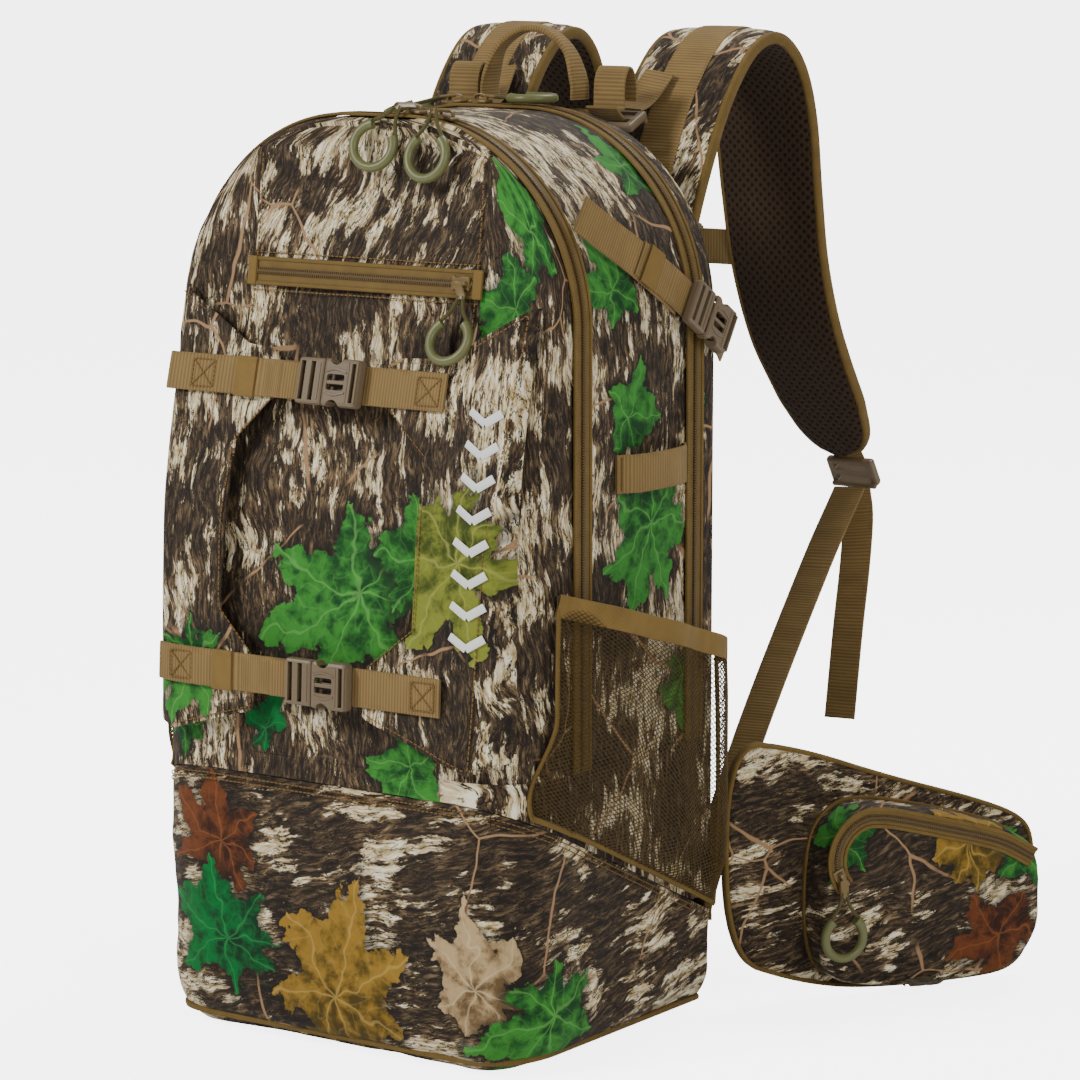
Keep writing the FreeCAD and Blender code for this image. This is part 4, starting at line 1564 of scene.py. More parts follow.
# ---------------------------------------------------------------- straps, buckles and the harness
@dataclass(frozen=True)
class Buckle:
    """A side-release buckle: mouth at x = 0, plug towards -X, wearing face at y = 0.

    Attributes:
        width: Its full width.
        deep: Its full thickness.
    """

    width: float = 31.0
    deep: float = 9.5

    def rod(self, x: float, z: float, radius: float) -> Piece:
        """A cylinder through the buckle's thickness, for cutting."""
        deselect()
        bpy.ops.mesh.primitive_cylinder_add(
            vertices=24, radius=radius * MM, depth=40 * MM, location=(x * MM, 0, z * MM), rotation=(math.pi / 2, 0, 0)
        )
        return bpy.context.object

    def socket(self) -> Piece:
        """The socket: a hollow waisted shell with windows, rails and a webbing bar."""
        half = self.width / 2
        shell = cube("socket", (0, -self.deep, -half), (28, 0, half), 2.4)
        cut(shell, cube("mouth", (-2, -self.deep + 1.7, -half + 3), (20, -1.7, half - 3)))
        cut(shell, *[self.rod(9.5, side * (half + 1.2), 5.4) for side in (1, -1)])
        cut(shell, cube("slot", (22.6, -20, -12.6), (25.6, 5, 12.6)))
        cut(shell, cube("window", (3.4, -20, -5.2), (17.5, -5, 5.2), 1.5))
        rib = cube("rib", (2.5, -self.deep + 0.3, -1.2), (20, -self.deep + 1.7, 1.2), 0.3)
        top, edge = -self.deep, half - 2.4
        bars = [cube("bar", (x, top - 0.5, -edge), (x + 1.5, top + 1, edge), 0.4) for x in (19.2, 26.2)]
        rails = []
        for side in (1, -1):
            arch = smooth_path(
                [(2.6, top, side * 6.6), (10, top - 0.2, side * 8.4), (18.8, top, side * 6.6)], 2
            )
            rails.append(sweep("rail", arch, (0, 0, 1), 1.4, 1.2, 0.3, 8))
        return joined("socket", [shell, rib, *bars, *rails])

    def plug(self) -> Piece:
        """The plug: a plate with two webbing slots, two sprung arms with barbs, and a guide."""
        half = self.width / 2 - 0.4
        plate = cube("plate", (-22, -8.4, -half), (-0.4, -1.1, half), 2.0)
        cut(plate, *[cube("slot", (x, -12, -12.6), (x + 3.6, 3, 12.6)) for x in (-19.4, -11.4)])
        arms = []
        for side in (1, -1):
            bends = ((-2, 9.5), (5, 8.2), (11, 8.6), (16, 6.8))
            line = smooth_path([(x, -4.8, side * z) for x, z in bends], 1.5)
            arms.append(sweep("arm", line, (0, 1, 0), 3.2, np.linspace(3.4, 2.6, len(line)), 0.7, 10))
            arms.append(cube("barb", (9.5, -6.3, side * 10.2 - 1.4), (14.5, -3.3, side * 10.2 + 1.4), 0.6))
        guide = cube("guide", (-2, -5.7, -1.4), (15, -3.9, 1.4), 0.4)
        ridge = cube("ridge", (-5.2, -8.9, -half + 3), (-3.4, -8.2, half - 3), 0.3)
        return joined("plug", [plate, *arms, guide, ridge])

    def fit(self, socket_at: Matrix, plug_at: Matrix) -> tuple[Piece, Piece]:
        """The socket and the plug, each moved into place."""
        female, male = self.socket(), self.plug()
        female.data.transform(socket_at)
        male.data.transform(plug_at)
        return female, male


class Straps:
    """Webbing with the pieces sewn on it."""

    THICK = 2.0

    def strap(
        self,
        name: str,
        points: Points,
        side: Numbers,
        width: float = 25.0,
        step: float = 5.0,
    ) -> Piece:
        """Webbing through points, its width along side."""
        return sweep(name, smooth_path(points, step), side, width, self.THICK, 0.85, 14)

    def sew(
        self,
        name: str,
        points: Points,
        side: Numbers,
        body: str = "pack",
        nodes: Sequence[str] = (),
        **shape: float,
    ) -> None:
        """Webbing through points that moves with a body and stands for nodes."""
        settle(self.strap(name, points, side, **shape), body, ("webbing",), nodes)


class Harness(Straps):
    """The bow harness: two wings joined by two buckled straps."""

    STANDOFF = 11.0
    ROWS = {
        1: (
            ((118, 199), (120.5, 199.2)), ((79, 213), (141, 208)), ((38, 227), (141, 224)), ((38, 257), (141, 257)),
            ((56, 271), (141, 271)), ((75, 285), (141, 285)), ((75, 397), (141, 397)), ((56, 412), (141, 412)),
            ((38, 427), (141, 427)), ((38, 455), (141, 455)), ((78, 456.5), (141, 462)), ((110, 474), (141, 478)),
            ((139.8, 491), (141, 491.6)),
        ),
        -1: (
            ((-118, 203), (-120.5, 203.2)), ((-84, 213), (-141, 209)), ((-52, 222), (-141, 222)), ((-52, 257), (-141, 257)),
            ((-66, 271), (-141, 271)), ((-80, 285), (-141, 285)), ((-80, 397), (-141, 397)), ((-66, 412), (-141, 412)),
            ((-52, 427), (-141, 427)), ((-52, 455), (-141, 455)), ((-78, 457), (-141, 462)), ((-110, 475), (-141, 478)),
            ((-139.8, 491), (-141, 491.6)),
        ),
    }
    FLAT = {1: (0.118, 0.295), -1: (0.104, 0.295)}
    STRAPS = (("upper", 437.0, -140.0, -5.0, 86.0), ("lower", 247.0, -132.0, 5.0, 101.0))

    def wing(self, side: int) -> None:
        """One wing, sewn to the bag along its outer edge."""
        rows = np.array(self.ROWS[side], float)
        heights = np.cumsum(np.concatenate([[0], np.maximum(np.abs(np.diff(rows[:, 0, 1])), 3)]))

        def surface(u: Array, v: Array) -> Array:
            at = v * heights[-1]
            inner = [np.interp(at, heights, rows[:, 0, i]) for i in (0, 1)]
            outer = [np.interp(at, heights, rows[:, 1, i]) for i in (0, 1)]
            x = inner[0] + (outer[0] - inner[0]) * u
            z = inner[1] + (outer[1] - inner[1]) * u
            close = np.clip((141.6 - np.abs(x)) / 9.0, 0.05, 1.0) ** 0.5
            wave = 0.8 * np.sin(z / 31.0 + side) * np.clip((130 - np.abs(x)) / 60, 0, 1)
            return FORM.front(x, z, self.STANDOFF * close + wave + 0.4)

        piece = sheet_grid(f"wing_look_{side}", surface, (40, 120), (1, 1), (0, 0, 340))
        map_uv(piece, lambda place, _: (place.x * 1.06, place.z))
        thicken(piece, 1.6, 1.0, 0)
        smooth(piece, 50)
        settle(piece, "front_flap", ("wing",), ("wing_px" if side > 0 else "wing_nx",))
        inner = np.vstack([rows[:, 0], rows[:1, 1]]) if side > 0 else rows[:, 0]
        path = resample(np.stack([inner[:, 0], np.zeros(len(inner)), inner[:, 1]], 1), 150)
        edge = FORM.front(path[:, 0], path[:, 2], self.STANDOFF + 2.4)
        centre = np.array([side * 110.0, 0, 340.0])
        hem = edge + unit((centre - path) * np.array([1, 0, 1])) * 3.0
        settle(STITCHING.row(f"wing_stitches_{side}", hem, (0, -1, 0)), "front_flap", ("thread",))

    def straps(self) -> None:
        """The two straps with their keepers, buckles and box stitches."""
        for name, z, left, mouth, right in self.STRAPS:
            proud = self.STANDOFF + 5.2
            lean = math.atan2(float(FORM.profile(np.array(z + 10.0)) - FORM.profile(np.array(z - 10.0))), 20)
            across = (0, math.sin(lean), math.cos(lean))
            face = FORM.front(np.array([0.0]), np.array([z]))[0, 1] - proud

            def line(x0: float, x1: float, drop: float = 0.0) -> list[tuple[float, float, float]]:
                xs = np.linspace(x0, x1, 12)
                bend = FORM.front(xs, np.full(12, z), proud)[:, 1]
                return [(x, y + drop, z) for x, y in zip(xs, np.maximum(bend, face))]

            first = name == "upper"
            tail = line(left, -70) + line(-60, mouth - 18)
            self.sew(f"harness_{name}_left", tail, across, "front_flap", ("harness_straps",) if first else ())
            self.sew(f"harness_{name}_right", line(mouth + 27, right), across, "front_flap")
            fold = line(mouth - 38, mouth - 14, -2.4)
            self.sew(f"harness_{name}_fold", fold, across, f"plug_{name}", width=24.4)
            keeper = self.strap(f"harness_{name}_keeper", line(-82, -66, -1.7), across, 26.5, 3.0)
            settle(keeper, "front_flap", ("keeper",))
            facing = (0, math.cos(lean), -math.sin(lean))
            female, male = Buckle().fit(*[axes((mouth, y, z), (1, 0, 0), facing) for y in (face - 0.4, face)])
            female.name, male.name = f"harness_socket_{name}", f"harness_plug_{name}"
            settle(female, "front_flap", ("buckle",), ("harness_sockets",) if first else ())
            settle(male, f"plug_{name}", ("buckle",), (f"plug_{name}",))
            for x in (right - 13, -110):
                spot = FORM.front(np.array([x]), np.array([z]), proud + 1.3)[0]
                spot[1] = max(spot[1], face - 1.3) if abs(x) < 100 else spot[1]
                box = STITCHING.box(f"harness_box_{name}_{x:.0f}", tuple(spot), (1, 0, 0), across, (18, 18))
                settle(box, "front_flap", ("thread",))

    def mark(self) -> None:
        """A column of plain embroidered chevrons on the right wing."""
        strokes = []
        for number in range(8):
            for side in (-1, 1):
                xs = np.linspace(118, 118 + side * 12, 6)
                zs = 280 + number * 20.0 + np.abs(xs - 118) * 0.6
                path = FORM.front(xs, zs, self.STANDOFF + 3.3)
                strokes.append(sweep("stroke", path, (0, 0, 1), 5.6, 1.0, 0.6, 8))
        settle(joined("wing_mark", strokes), "front_flap", ("mark",))

    def build(self) -> None:
        """Makes the harness."""
        self.wing(1)
        self.wing(-1)
        self.straps()
        self.mark()


class Sides(Straps):
    """Compression straps, gear loops and mesh pockets."""

    DIRECTION = (0.0, 0.847, -0.532)
    ACROSS = (0.0, 0.532, 0.847)
    LOOP = (
        (154.4, -17), (155.4, -13), (161.0, -6), (164.4, 8), (165.2, 24), (164.4, 40), (161.0, 54), (155.4, 60), (154.4, 63.5)
    )
    PLAN = ((157.0, -86), (161, -78), (172, -56), (184, -20), (187, 25), (183, 68), (169, 90), (156.8, 98))
    LOW_PLAN = (
        (143, -101), (155, -90), (166, -72), (176, -44), (183, -14), (185, 25), (181, 66), (168, 89), (156.8, 98)
    )

    def compression(self) -> None:
        """The two straps that pull the main panel down."""
        route = [(144, -43, 548.5), (149.5, -20, 533), (153.6, 5, 518), (156.6, 36, 498.5), (157, 52, 488.5)]
        fold_route = [(155.0, 8, 517.6), (158.4, 36, 500), (159.4, 50, 491), (160, 62, 483)]
        for name, side in SIDES:
            flip = MIRROR if side < 0 else Matrix.Identity(4)

            def put(piece: Piece, title: str) -> Piece:
                piece.data.transform(flip)
                if side < 0:
                    piece.data.flip_normals()
                piece.name = f"{title}_{name}"
                return piece

            def web(
                title: str,
                points: Points,
                body: str,
                nodes: Sequence[str] = (),
                width: float = 25.0,
            ) -> None:
                settle(
                    put(self.strap(title, points, self.ACROSS, width), title),
                    body,
                    ("webbing",),
                    nodes,
                )

            web("compression_strap", route, "main_lid", ("compression_straps",) if side > 0 else ())
            web("compression_fold", fold_route, "main_lid", width=24.4)
            keeper = self.strap("keeper", [(157.6, 12, 514.4), (159.6, 24, 506.6)], self.ACROSS, 26.5, 3.0)
            settle(put(keeper, "compression_keeper"), "main_lid", ("keeper",))
            female, male = Buckle().fit(*[axes((160.6, 72, 476), self.DIRECTION, (-1, 0, 0))] * 2)
            sockets = ("compression_sockets",) if side > 0 else ()
            settle(put(female, "compression_socket"), "pack", ("buckle",), sockets)
            plug = f"compression_plug_{name}"
            settle(put(male, "compression_plug_look"), plug, ("buckle",), (plug,))
            web("compression_tab", [(159.8, 93, 463), (158.2, 103, 456.6), (155.4, 110, 452)], "pack")

    def loops(self) -> None:
        """The flat gear loops on the main panel."""
        for name, side in SIDES:
            points = [(side * x, y, 380) for x, y in self.LOOP]
            nodes = ("gear_loops",) if side > 0 else ()
            self.sew(f"gear_loop_look_{name}", points, (0, 0, 1), "main_lid", nodes, step=3.0)
            for y in (-14, 60.5):
                seam = np.array([[side * 157.0, y, z] for z in (369.0, 380.0, 391.0)])
                row = STITCHING.row(f"gear_loop_stitches_{name}_{y:.0f}", seam, (side, 0, 0), 2.6)
                settle(row, "main_lid", ("thread",))

    def pocket(self, side: int) -> None:
        """A pocket of knotted net with a bound top, which wraps the front corner low down."""
        path, low_path = (
            resample(smooth_path([(x, y, 0) for x, y in plan], 2.0), 200) for plan in (self.PLAN, self.LOW_PLAN)
        )
        length = float(along(path)[-1])
        even = np.linspace(0, 1, 200)

        def surface(u: Array, v: Array) -> Array:
            def at(line: Array) -> Array:
                return at_lengths(u, even, line[:, :2])

            high, low = at(path), at(low_path)
            top = 321.5 - (high[:, 1] + 120) * (85.5 / 280)
            bottom = FORM.seam(low[:, 1], -3.5)
            z = bottom + (top - bottom) * v
            share = np.clip((z - 175) / 60.0, 0, 1)
            share = (share * share * (3 - 2 * share))[:, None]
            xy = low * (1 - share) + high * share
            tuck = np.clip(v / 0.16, 0, 1) ** 0.5
            hug = FORM.skin(np.interp(xy[:, 1], [-100, 100], [160, 358]), z)
            x = np.maximum(hug[:, 0] + 1.5, 157.0 * (xy[:, 1] > -70)) * (1 - tuck) + xy[:, 0] * tuck
            sag = 2.2 * np.sin(u * 23 + v * 3) * np.sin(u * math.pi) * tuck
            height = np.sin(math.pi * np.clip(v, 0, 1))
            fore = np.exp(-(((u - 0.1) / 0.09) ** 2)) * height
            aft = np.exp(-(((u - 0.93) / 0.08) ** 2)) * height
            return np.stack([side * (x + sag + 3 * fore + 5 * aft), xy[:, 1] - 9 * fore, z], 1)

        columns, rows = 44, 52
        net = sheet_grid(f"mesh_pocket_{side}", surface, (columns, rows), (length, 190), (0, 0, 200))
        whole = (columns + 1) * (rows + 1)
        edit(net, lambda: bpy.ops.mesh.poke())
        activate(net)
        bpy.ops.object.mode_set(mode="EDIT")
        bpy.ops.mesh.select_mode(type="EDGE")
        bpy.ops.mesh.select_all(action="DESELECT")
        bpy.ops.object.mode_set(mode="OBJECT")
        for edge in net.data.edges:
            edge.select = max(edge.vertices) < whole
        bpy.ops.object.mode_set(mode="EDIT")
        bpy.ops.mesh.dissolve_edges(use_verts=False)
        bpy.ops.mesh.select_mode(type="VERT")
        bpy.ops.object.mode_set(mode="OBJECT")
        apply_modifier(net, "WIREFRAME", thickness=0.85 * MM, use_even_offset=False, use_boundary=True)
        settle(net, "pack", ("net",), ("mesh_pockets",) if side > 0 else ())
        u = np.linspace(0, 1, 90)
        top = surface(u, np.ones(90))
        band = sweep(f"pocket_band_{side}", top - np.array([0, 0, 6.0]), (0, 0, 1), 15.0, 2.2, 0.8, 12)
        settle(band, "pack", ("keeper",))
        rims = [(surface(np.full(40, k), np.linspace(0, 0.94, 40)), (0, 1, 0)) for k in (0.004, 0.996)]
        rims.append((surface(u, np.full(90, 0.004)), (0, 0, 1)))
        for number, (rim, across) in enumerate(rims):
            piece = sweep(f"pocket_rim_{side}_{number}", rim, across, 4.0, 2.0, 0.5, 8)
            settle(piece, "pack", ("binding",))

    def build(self) -> None:
        """Makes the side pieces."""
        self.compression()
        self.loops()
        self.pocket(1)
        self.pocket(-1)


class Shoulder(Straps):
    """Shoulder pads, their webbing, locks, lifters and the chest strap."""

    PATH = (
        (80, 117, 486), (80, 130, 530), (80, 148, 575), (81, 171, 615), (82, 199, 643), (83, 228, 649), (85, 253, 630),
        (87, 267, 592), (90, 272, 540), (94, 277, 490), (99, 291, 440), (104, 315, 396), (109, 343, 352),
    )
    WIDTHS = (70, 76, 80, 80, 80, 80, 80, 78, 76, 74, 72, 66, 46)
    RUNS = {
        "lifter": (((60, 135, 603), (61, 143, 605.5), (63, 153, 613), (66, 166, 627)), 5.0, "strap_webbing"),
        "lifter_tail": (
            (
                (60, 113.4, 604), (60, 114, 621), (60, 117, 629), (60, 121, 632), (60, 125, 629), (60, 128, 621),
                (60, 128.4, 609),
            ),
            5.0,
            "",
        ),
        "lower": (
            ((134, 112, 58), (132, 121, 78), (127, 190, 172), (120.5, 283, 274), (115.4, 340, 326)), 5.0, ""
        ),
        "free": (
            ((115, 349, 324), (118, 348, 305), (123, 336, 272), (127, 320, 225), (129.5, 306, 165)), 5.0, ""
        ),
        "lifter_anchor": (((60, 104, 606), (60, 106.5, 604), (60, 110, 601), (60, 114, 598)), 2.0, ""),
        "tip_tab": (((108, 337, 362), (110, 344, 352), (111.5, 349, 343)), 3.0, ""),
    }
    DEEP = 12.0

    def pad(self, name: str, side: int) -> None:
        """One curved pad: printed outside, spacer mesh inside, bound all round."""
        path = smooth_path(self.PATH, 5.0) * np.array([side, 1, 1])
        count = len(path)
        width = spread(self.WIDTHS, count)
        end = np.clip((along(path)[-1] - along(path)) / 26.0, 0, 1)
        width = width * (0.35 + 0.65 * np.sqrt(1 - (1 - end) ** 2))
        piece = sweep(f"pad_{name}", path, (1, 0, 0), width, self.DEEP, 0.62, 36)
        mesh = piece.data
        tangent = unit(np.gradient(path, axis=0))
        normal = np.cross(np.array([1.0, 0, 0]), tangent)
        normal = normal * np.sign((normal[count // 3] * (path[count // 3] - np.array([0, 190, 500]))).sum())
        lengths = along(path) * MM

        def nearest(place: Vector) -> int:
            return int(np.argmin(((path * MM - np.array(place)) ** 2).sum(1)))

        for polygon in mesh.polygons:
            outer = float(np.dot(normal[nearest(polygon.center)], np.array(polygon.normal))) > -0.15
            polygon.material_index = 0 if outer else 1
        map_uv(piece, lambda place, _: (place.x * side, lengths[nearest(place)]))
        settle(piece, "pack", ("pad", "air"), (f"shoulder_pad_{name}",))
        half = width[:, None] / 2
        edge = np.array([1, 0, 0]) * (half - 0.6)
        ring = resample(np.vstack([path + edge, (path - edge)[::-1]]), 260)
        facing = np.vstack([normal, normal[::-1]])[np.rint(np.linspace(0, 2 * count - 1, 260)).astype(int)]
        binding = sweep(f"pad_binding_{name}", ring, facing, 8.5, 4.6, 0.4, 12)
        settle(binding, "pack", ("binding",))
        stripe = path[3:-6] + normal[3:-6] * (self.DEEP / 2 + 0.4)
        piece = sweep(f"pad_stripe_{name}", stripe, (1, 0, 0), 32.0, 2.0, 0.85, 12)
        settle(piece, "pack", ("webbing",))

    def lock(self, name: str, matrix: Matrix, width: float) -> Piece:
        """A moulded ladder lock."""
        half = width / 2
        plate = cube(name, (-half, -3, -11), (half, 3, 11), 1.8)
        cut(plate, *[cube("slot", (-half + 5, -9, z - 2.5), (half - 5, 9, z + 2.5), 0.6) for z in (-5.5, 4.5)])
        lip = cube("lip", (-half + 1, -6, -11.4), (half - 1, -2, -8), 1.0)
        piece = joined(name, [plate, lip])
        piece.data.transform(matrix)
        return piece

    def webbing(self, name: str, side: int) -> None:
        """The lifter, the tail loop and the two lower straps of one side."""
        for key, (points, step, node) in self.RUNS.items():
            nodes = (node,) if node and side > 0 else ()
            self.sew(
                f"{key}_{name}", [(x * side, y, z) for x, y, z in points], (1, 0, 0), nodes=nodes, step=step
            )
        for key, place, facing, node in (
            ("lifter_lock", (60 * side, 121.5, 596), (0, -0.42, 0.91), "ladder_locks"),
            ("tip_lock", (112 * side, 351, 337), (0, 0.85, 0.53), ""),
        ):
            lock = self.lock(f"{key}_{name}", axes(place, (1, 0, 0), facing), 38.0)
            settle(lock, "pack", ("buckle",), (node,) if node and side > 0 else ())

    def chest(self) -> None:
        """The chest strap and its buckle."""
        y, z = 276.0, 500.0
        right = [(26, y - 1.4, z), (40, y - 1.4, z), (56, y - 1.2, z)]
        self.sew("chest_right", right, (0, 0, 1), nodes=("sternum_strap",))
        self.sew("chest_left", [(-56, y - 1.2, z), (-30, y - 1.4, z), (-16, y - 1.4, z)], (0, 0, 1))
        female, male = Buckle().fit(*[axes((-3, y, z), (1, 0, 0), (0, -1, 0))] * 2)
        female.name, male.name = "chest_socket", "chest_plug"
        settle(female, "pack", ("buckle",))
        settle(male, "sternum_plug", ("buckle",), ("sternum_plug",))

    def build(self) -> None:
        """Makes both sides."""
        for name, side in SIDES:
            self.pad(name, side)
            self.webbing(name, side)
        self.chest()


class Top(Straps):
    """The grab handle, the front pocket's zipper and bag, and the back panel."""

    def handle(self) -> None:
        """The webbing handle, folded narrow in the middle."""
        half = [(14, 654), (29, 642), (36.5, 622), (37, 610)]
        centre = [(-x, z) for x, z in half[::-1]] + [(0, 657)] + half
        path = smooth_path([(x, 112, z) for x, z in centre], 3)
        width = spread([21, 20, 13, 12, 12, 12, 13, 20, 21], len(path))
        deep = spread([3, 4.6, 5.2, 4.6, 3], len(path))
        grip = sweep("handle_look", path, (0, 1, 0), width, deep, 0.6, 14)
        settle(grip, "handle", ("webbing",), ("grab_handle",))
        for side in (1, -1):
            points = [(side * 37, y, z) for y, z in ((107, 590), (109, 597), (110.2, 604))]
            self.sew(f"handle_root_{side}", points, (1, 0, 0), width=24.0, step=3.0)

    def pocket(self) -> None:
        """The pocket zipper across the front, bound above and below."""
        z = np.full(120, 503.0)
        x = np.linspace(-91, 91, 120)
        path = FORM.front(x, z, 1.4)
        out = np.tile(unit(np.array([0.0, -1.0, 0.15])), (120, 1))
        zipper = Zipper("pocket_zip", path, out, 8.6, ("front_flap", "front_flap"))
        zipper.half(0, ("pocket_zip",))
        zipper.half(1)
        for drop in (-13.5, 13.5):
            welt = FORM.front(x, z + drop * 0.9, 1.0)
            row = STITCHING.row(f"pocket_stitches_{drop:.0f}", welt, (0, -1, 0.1))
            settle(row, "front_flap", ("thread",))
        for side in (1, -1):
            tab = cube(f"pocket_end_{side}", (side * 91 - 3.5, -2.4, -9.5), (side * 91 + 3.5, 0, 9.5), 0.8)
            tab.data.transform(axes((0, float(path[0, 1]) - 0.2, 503), (1, 0, 0), (0, 0.99, -0.14)))
            settle(tab, "front_flap", ("keeper",))

        def bag(u: Array, v: Array) -> Array:
            fade = np.clip(8 * np.minimum(np.minimum(u, 1 - u), np.minimum(v, 1 - v)), 0, 1)
            return FORM.front(-86 + 172 * u, 372 + 146 * v, -2.4 - 3.0 * fade)

        inner = sheet_grid("pocket_bag", bag, (40, 34), (172, 146), (0, -300, 440))
        crumple(inner, 0.8, 30.0, 7.0)
        thicken(inner, 0.6)
        smooth(inner)
        settle(inner, "front_flap", ("lining",))

    def back(self) -> None:
        """The padded back panel in three raised fields."""
        outline = BagBody().arch_outline(-7, 32, 104.0)
        base = pillow("back_base", outline, (0, 1, 0), (2.6, 2.6), 16.0, 8)
        settle(base, "pack", ("air",), ("back_panel",))
        outer = [(60, 60), (60, 300), (60, 470), (118, 470), (128, 300), (128, 60)]
        fields = (
            [(-42, 60), (-46, 300), (-40, 520), (-28, 545), (28, 545), (40, 520), (46, 300), (42, 60)],
            outer,
            [(-x, z) for x, z in outer],
        )
        for number, points in enumerate(fields):
            ring = resample(smooth_path([(x, 105.6, z) for x, z in points], 8.0, True), 80)
            pad = pillow(f"back_field_{number}", ring, (0, 1, 0), (3.6, 1.0), 7.0, 8)
            settle(pad, "pack", ("air",))

    def build(self) -> None:
        """Makes the top pieces and the back."""
        self.handle()
        self.pocket()
        self.back()


class HipBelt(Straps):
    """Fold-out hip wings with zipped pouches, drawn along +X and turned into place."""

    ROOT = (157.0, 104.0, 0.0)
    WING = (
        (4, 36), (4, 186), (60, 176), (130, 150), (200, 128), (238, 112), (246, 92), (246, 30), (232, 6), (200, 2),
        (110, 4), (60, 14),
    )
    POUCH = (
        (62, 34), (62, 106), (72, 130), (96, 142), (150, 130), (214, 112), (234, 92), (234, 40), (216, 14), (150, 8),
        (84, 14),
    )
    FACE = -6.9

    def outline(
        self,
        points: Points,
        y: float,
        shrink: float = 0.0,
        count: int = 120,
        soft: float = 0.24,
    ) -> Array:
        """A closed outline with rounded corners at y, drawn in by shrink."""
        p = np.array([(x, y, z) for x, z in points], float)
        for _ in range(3):
            ahead = np.roll(p, -1, 0)
            p = np.stack([p + (ahead - p) * soft, ahead + (p - ahead) * soft], 1).reshape(-1, 3)
        ring = resample(np.vstack([p, p[:1]]), count + 1)[:-1]
        if shrink:
            tangent = unit(np.roll(ring, -1, 0) - np.roll(ring, 1, 0))
            inward = np.cross(tangent, [0.0, 1.0, 0.0])
            inward = inward * np.sign((inward * (ring.mean(0) - ring)).sum())
            ring = ring + inward * shrink
        return ring

    def place(self, piece: Piece, side: int) -> Piece:
        """Turns a piece drawn along +X onto its side of the bag."""
        matrix = axes(self.ROOT, (0.5, math.sqrt(0.75), 0), (-math.sqrt(0.75), 0.5, 0))
        if side < 0:
            matrix = MIRROR @ matrix
        piece.data.transform(matrix)
        if side < 0:
            piece.data.flip_normals()
        return piece

    def recentre(self, piece: Piece) -> None:
        """Lays the UV map of a piece flat, seen from its outer face, round the pouch's middle."""

        def flat(place: Vector, _: Vector) -> Vector:
            spot = Vector((place.x - 0.148, place.z - 0.076))
            return spot + spot.normalized() * max(0.0, 0.034 + place.y)

        map_uv(piece, flat)

    def wing(self, name: str, side: int) -> None:
        """The padded wing, bound round its edge."""
        pad = pillow(f"hip_pad_{name}", self.outline(self.WING, 0), (0, -1, 0), (6.4, 6.4), 9.0, 10)
        for polygon in pad.data.polygons:
            polygon.material_index = 1 if polygon.normal.y > 0.2 else 0
        self.recentre(pad)
        settle(self.place(pad, side), f"hip_{name}", ("hip", "air"), (f"hip_wing_{name}",))
        ring = self.outline(self.WING, 0, 0.6, 200)
        rim = sweep(f"hip_binding_{name}", ring, (0, 1, 0), 8.0, 3.6, 0.4, 12, True)
        settle(self.place(rim, side), f"hip_{name}", ("binding",))

    def pouch(self, name: str, side: int) -> None:
        """The pouch: a bulging face, a gusset and a curved zipper near its top edge."""
        def shell(u: Array, v: Array) -> Array:
            ring = self.outline(self.POUCH, 0, 0.0, 160, 0.25)
            at = np.rint(u * 160).astype(int) % 160
            centre = np.array([148.0, 0, 76.0])
            rise = np.clip(v / 0.42, 0, 1)
            face = np.clip((v - 0.42) / 0.58, 0, 1)
            reach = np.where(v < 0.42, 1 - 0.045 * rise**3, 0.955 * np.cos(face * math.pi / 2) ** 0.85)
            crown = 27.0 + 4.2 * (1 - (reach / 0.955) ** 3.2)
            depth = np.where(v < 0.42, 27.0 * np.sin(rise * math.pi / 2) ** 0.8, crown)
            p = centre + (ring[at] - centre) * reach[:, None]
            p[:, 1] = self.FACE - depth
            return p

        piece = sheet_grid(f"pouch_{name}", shell, (160, 40), (1, 1), (148, 0, 76))
        weld(piece)
        self.recentre(piece)
        crumple(piece, 1.8, 46.0, 21.0 + side)
        crumple(piece, 0.6, 16.0, 23.0 + side)
        thicken(piece, 1.6, -1.0, 1)
        smooth(piece, 50)
        settle(self.place(piece, side), f"hip_{name}", ("hip", "lining"), (f"hip_pouch_{name}",))
        angles = np.radians(np.linspace(-40, 88, 40))
        arc = np.stack([98 - 28 * np.cos(angles), np.zeros(40), 104 + 28 * np.sin(angles)], 1)
        run = smooth_path(
            [tuple(arc[-1]), (114, 0, 129.5), (150, 0, 120), (196, 0, 106.5), (224, 0, 92)], 4.0
        )[1:]
        line = resample(np.vstack([arc, run]), 150)
        line[:, 1] = self.FACE - 30.4
        out = np.tile([0.0, -1.0, 0.0], (150, 1))
        zipper = Zipper(f"pouch_zip_{name}", line, out, 6.4, (f"hip_{name}",) * 2)
        before = set(bpy.data.objects)
        zipper.half(0)
        zipper.half(1)
        for made in set(bpy.data.objects) - before:
            self.place(made, side)
        ring = self.outline(self.POUCH, self.FACE - 0.6, -0.6, 200, 0.25)
        rim = sweep(f"pouch_base_{name}", ring, (0, 1, 0), 3.4, 2.4, 0.4, 8, True)
        settle(self.place(rim, side), f"hip_{name}", ("binding",))

    def belt(self, name: str, side: int) -> None:
        """The waist webbing and its clasp, stowed on the inner face."""
        strap = self.strap(f"waist_{name}", [(94, 8.6, 67), (150, 8.4, 67), (238, 8.6, 67)], (0, 0, 1), 38.0)
        settle(self.place(strap, side), f"hip_{name}", ("webbing",), (f"waist_strap_{name}",))
        clasp = cube(f"waist_clasp_{name}", (60, 7.4, 43), (94, 17, 91), 2.6)
        cut(clasp, cube("slot", (86, 0, 48), (90, 30, 86)), cube("mouth", (55, 9.4, 47), (78, 15.2, 87)))
        cut(clasp, cube("window", (65, 14, 60), (80, 30, 74), 1.0))
        settle(self.place(clasp, side), f"hip_{name}", ("buckle",))

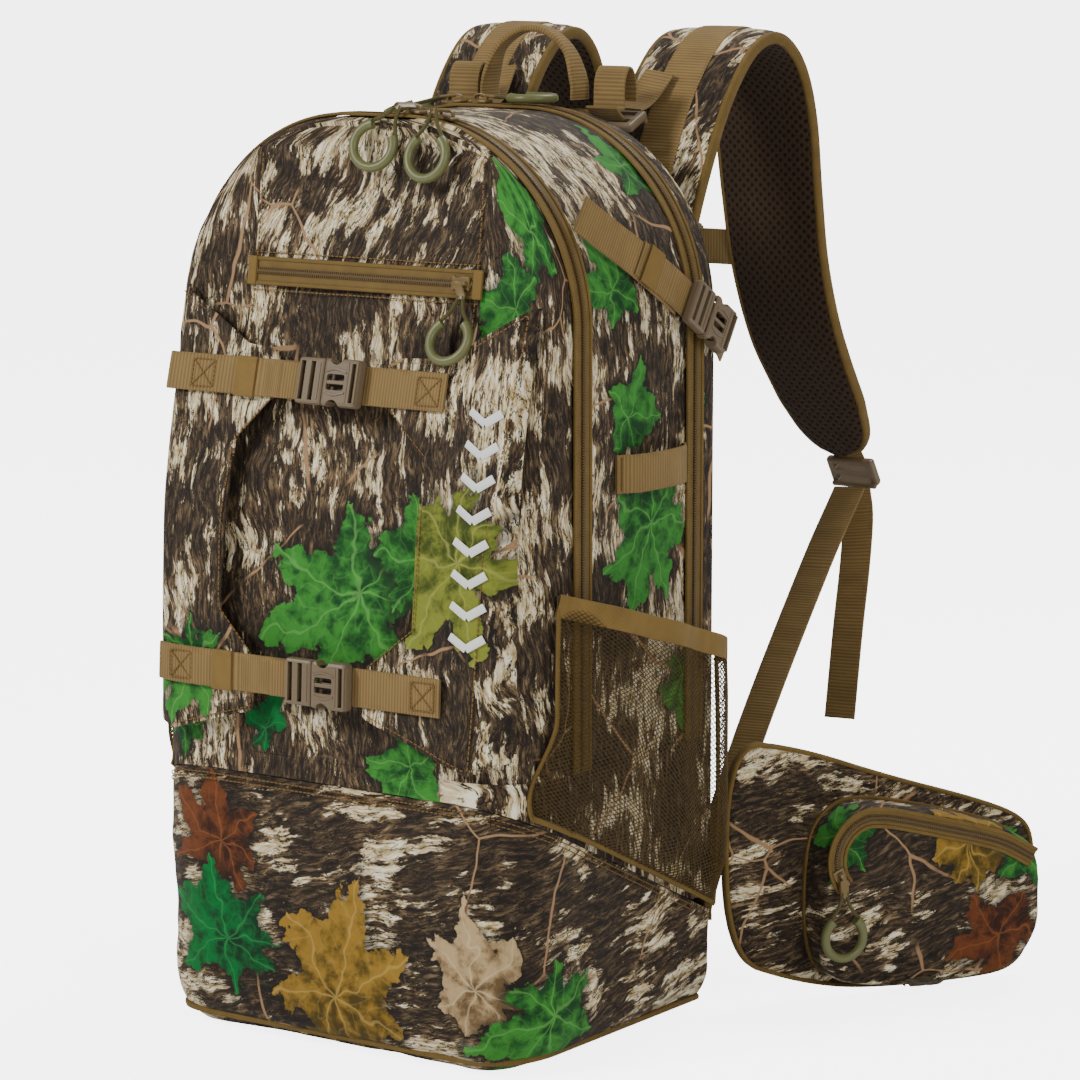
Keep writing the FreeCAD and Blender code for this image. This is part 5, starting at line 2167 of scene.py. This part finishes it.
    def build(self) -> None:
        """Makes both hip wings."""
        for name, side in SIDES:
            self.wing(name, side)
            self.pouch(name, side)
            self.belt(name, side)


def pulls() -> list[Pull]:
    """The seven zipper pulls."""
    def on_arch(x: float, y: float) -> tuple[tuple[float, ...], tuple[float, ...], tuple[float, ...]]:
        reach = max(abs(x) - FORM.ARC_X, 0) / FORM.RADIUS
        out = (math.copysign(reach, x), 0.0, math.sqrt(1 - reach**2))
        centre = np.array([math.copysign(min(abs(x), FORM.ARC_X), x), y, FORM.ARC_Z])
        return tuple(centre + np.array(out) * (FORM.RADIUS + 2.4)), (out[2], 0.0, -out[0]), out

    below, face, above = (float(y) for y in np.interp((493, 503, 513), FORM.PROFILE_Z, FORM.PROFILE_Y))
    lean = math.atan2(above - below, 20)
    out = (0.0, -math.cos(lean), math.sin(lean))
    pocket = np.array([78.0, face, 503.0]) + np.array(out) * 2.4
    made = [
        Pull("front_l", (20, -67, 614), (0.88, 0, -0.47), (-0.45, -0.30, -0.84), *on_arch(24, -55)),
        Pull("front_r", (48, -67, 612), (1, 0, 0), (0.02, -0.30, -0.954), *on_arch(48, -55)),
        Pull("rear_l", (-46, 70, 611.5), (0, 1, 0), (-0.955, 0, -0.297), *on_arch(-38, 75)),
        Pull("rear_r", (-10, 80, 612), (0, 1, 0), (1, 0, 0), *on_arch(-18, 75)),
        Pull(
            "pocket",
            tuple(pocket + np.array([3, -5, -7])),
            (1, 0, 0),
            (0.03, -0.48, -0.877),
            tuple(pocket),
            (1, 0, 0),
            out,
        ),
    ]
    start = math.radians(25)
    for name, side in SIDES:
        run = np.array([side * 0.5, math.sqrt(0.75), 0.0])
        outward = np.array([side * math.sqrt(0.75), -0.5, 0.0])
        seat = np.array([side * 157.0, 104.0, 0.0]) + run * (98 - 28 * math.cos(start)) + outward * 37.4
        seat[2] = 104 - 28 * math.sin(start)
        line = run * -math.sin(start) + np.array([0.0, 0.0, math.cos(start)])
        leaves = seat + outward * 6.5 - np.array([0, 0, 8.0])
        made.append(
            Pull(f"hip_{name}", tuple(leaves), tuple(run), (0, 0, -1), tuple(seat), tuple(line), tuple(outward))
        )
    return made


def write_size() -> None:
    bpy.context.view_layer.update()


def main() -> None:
    """Builds the whole scene."""
    Studio().build()
    for pull in pulls():
        pull.build()
    for assembly in (BagBody(), Harness(), Sides(), Shoulder(), Top(), HipBelt()):
        assembly.build()
    write_size()


if __name__ == "__main__":
    main()
    bpy.context.view_layer.update()
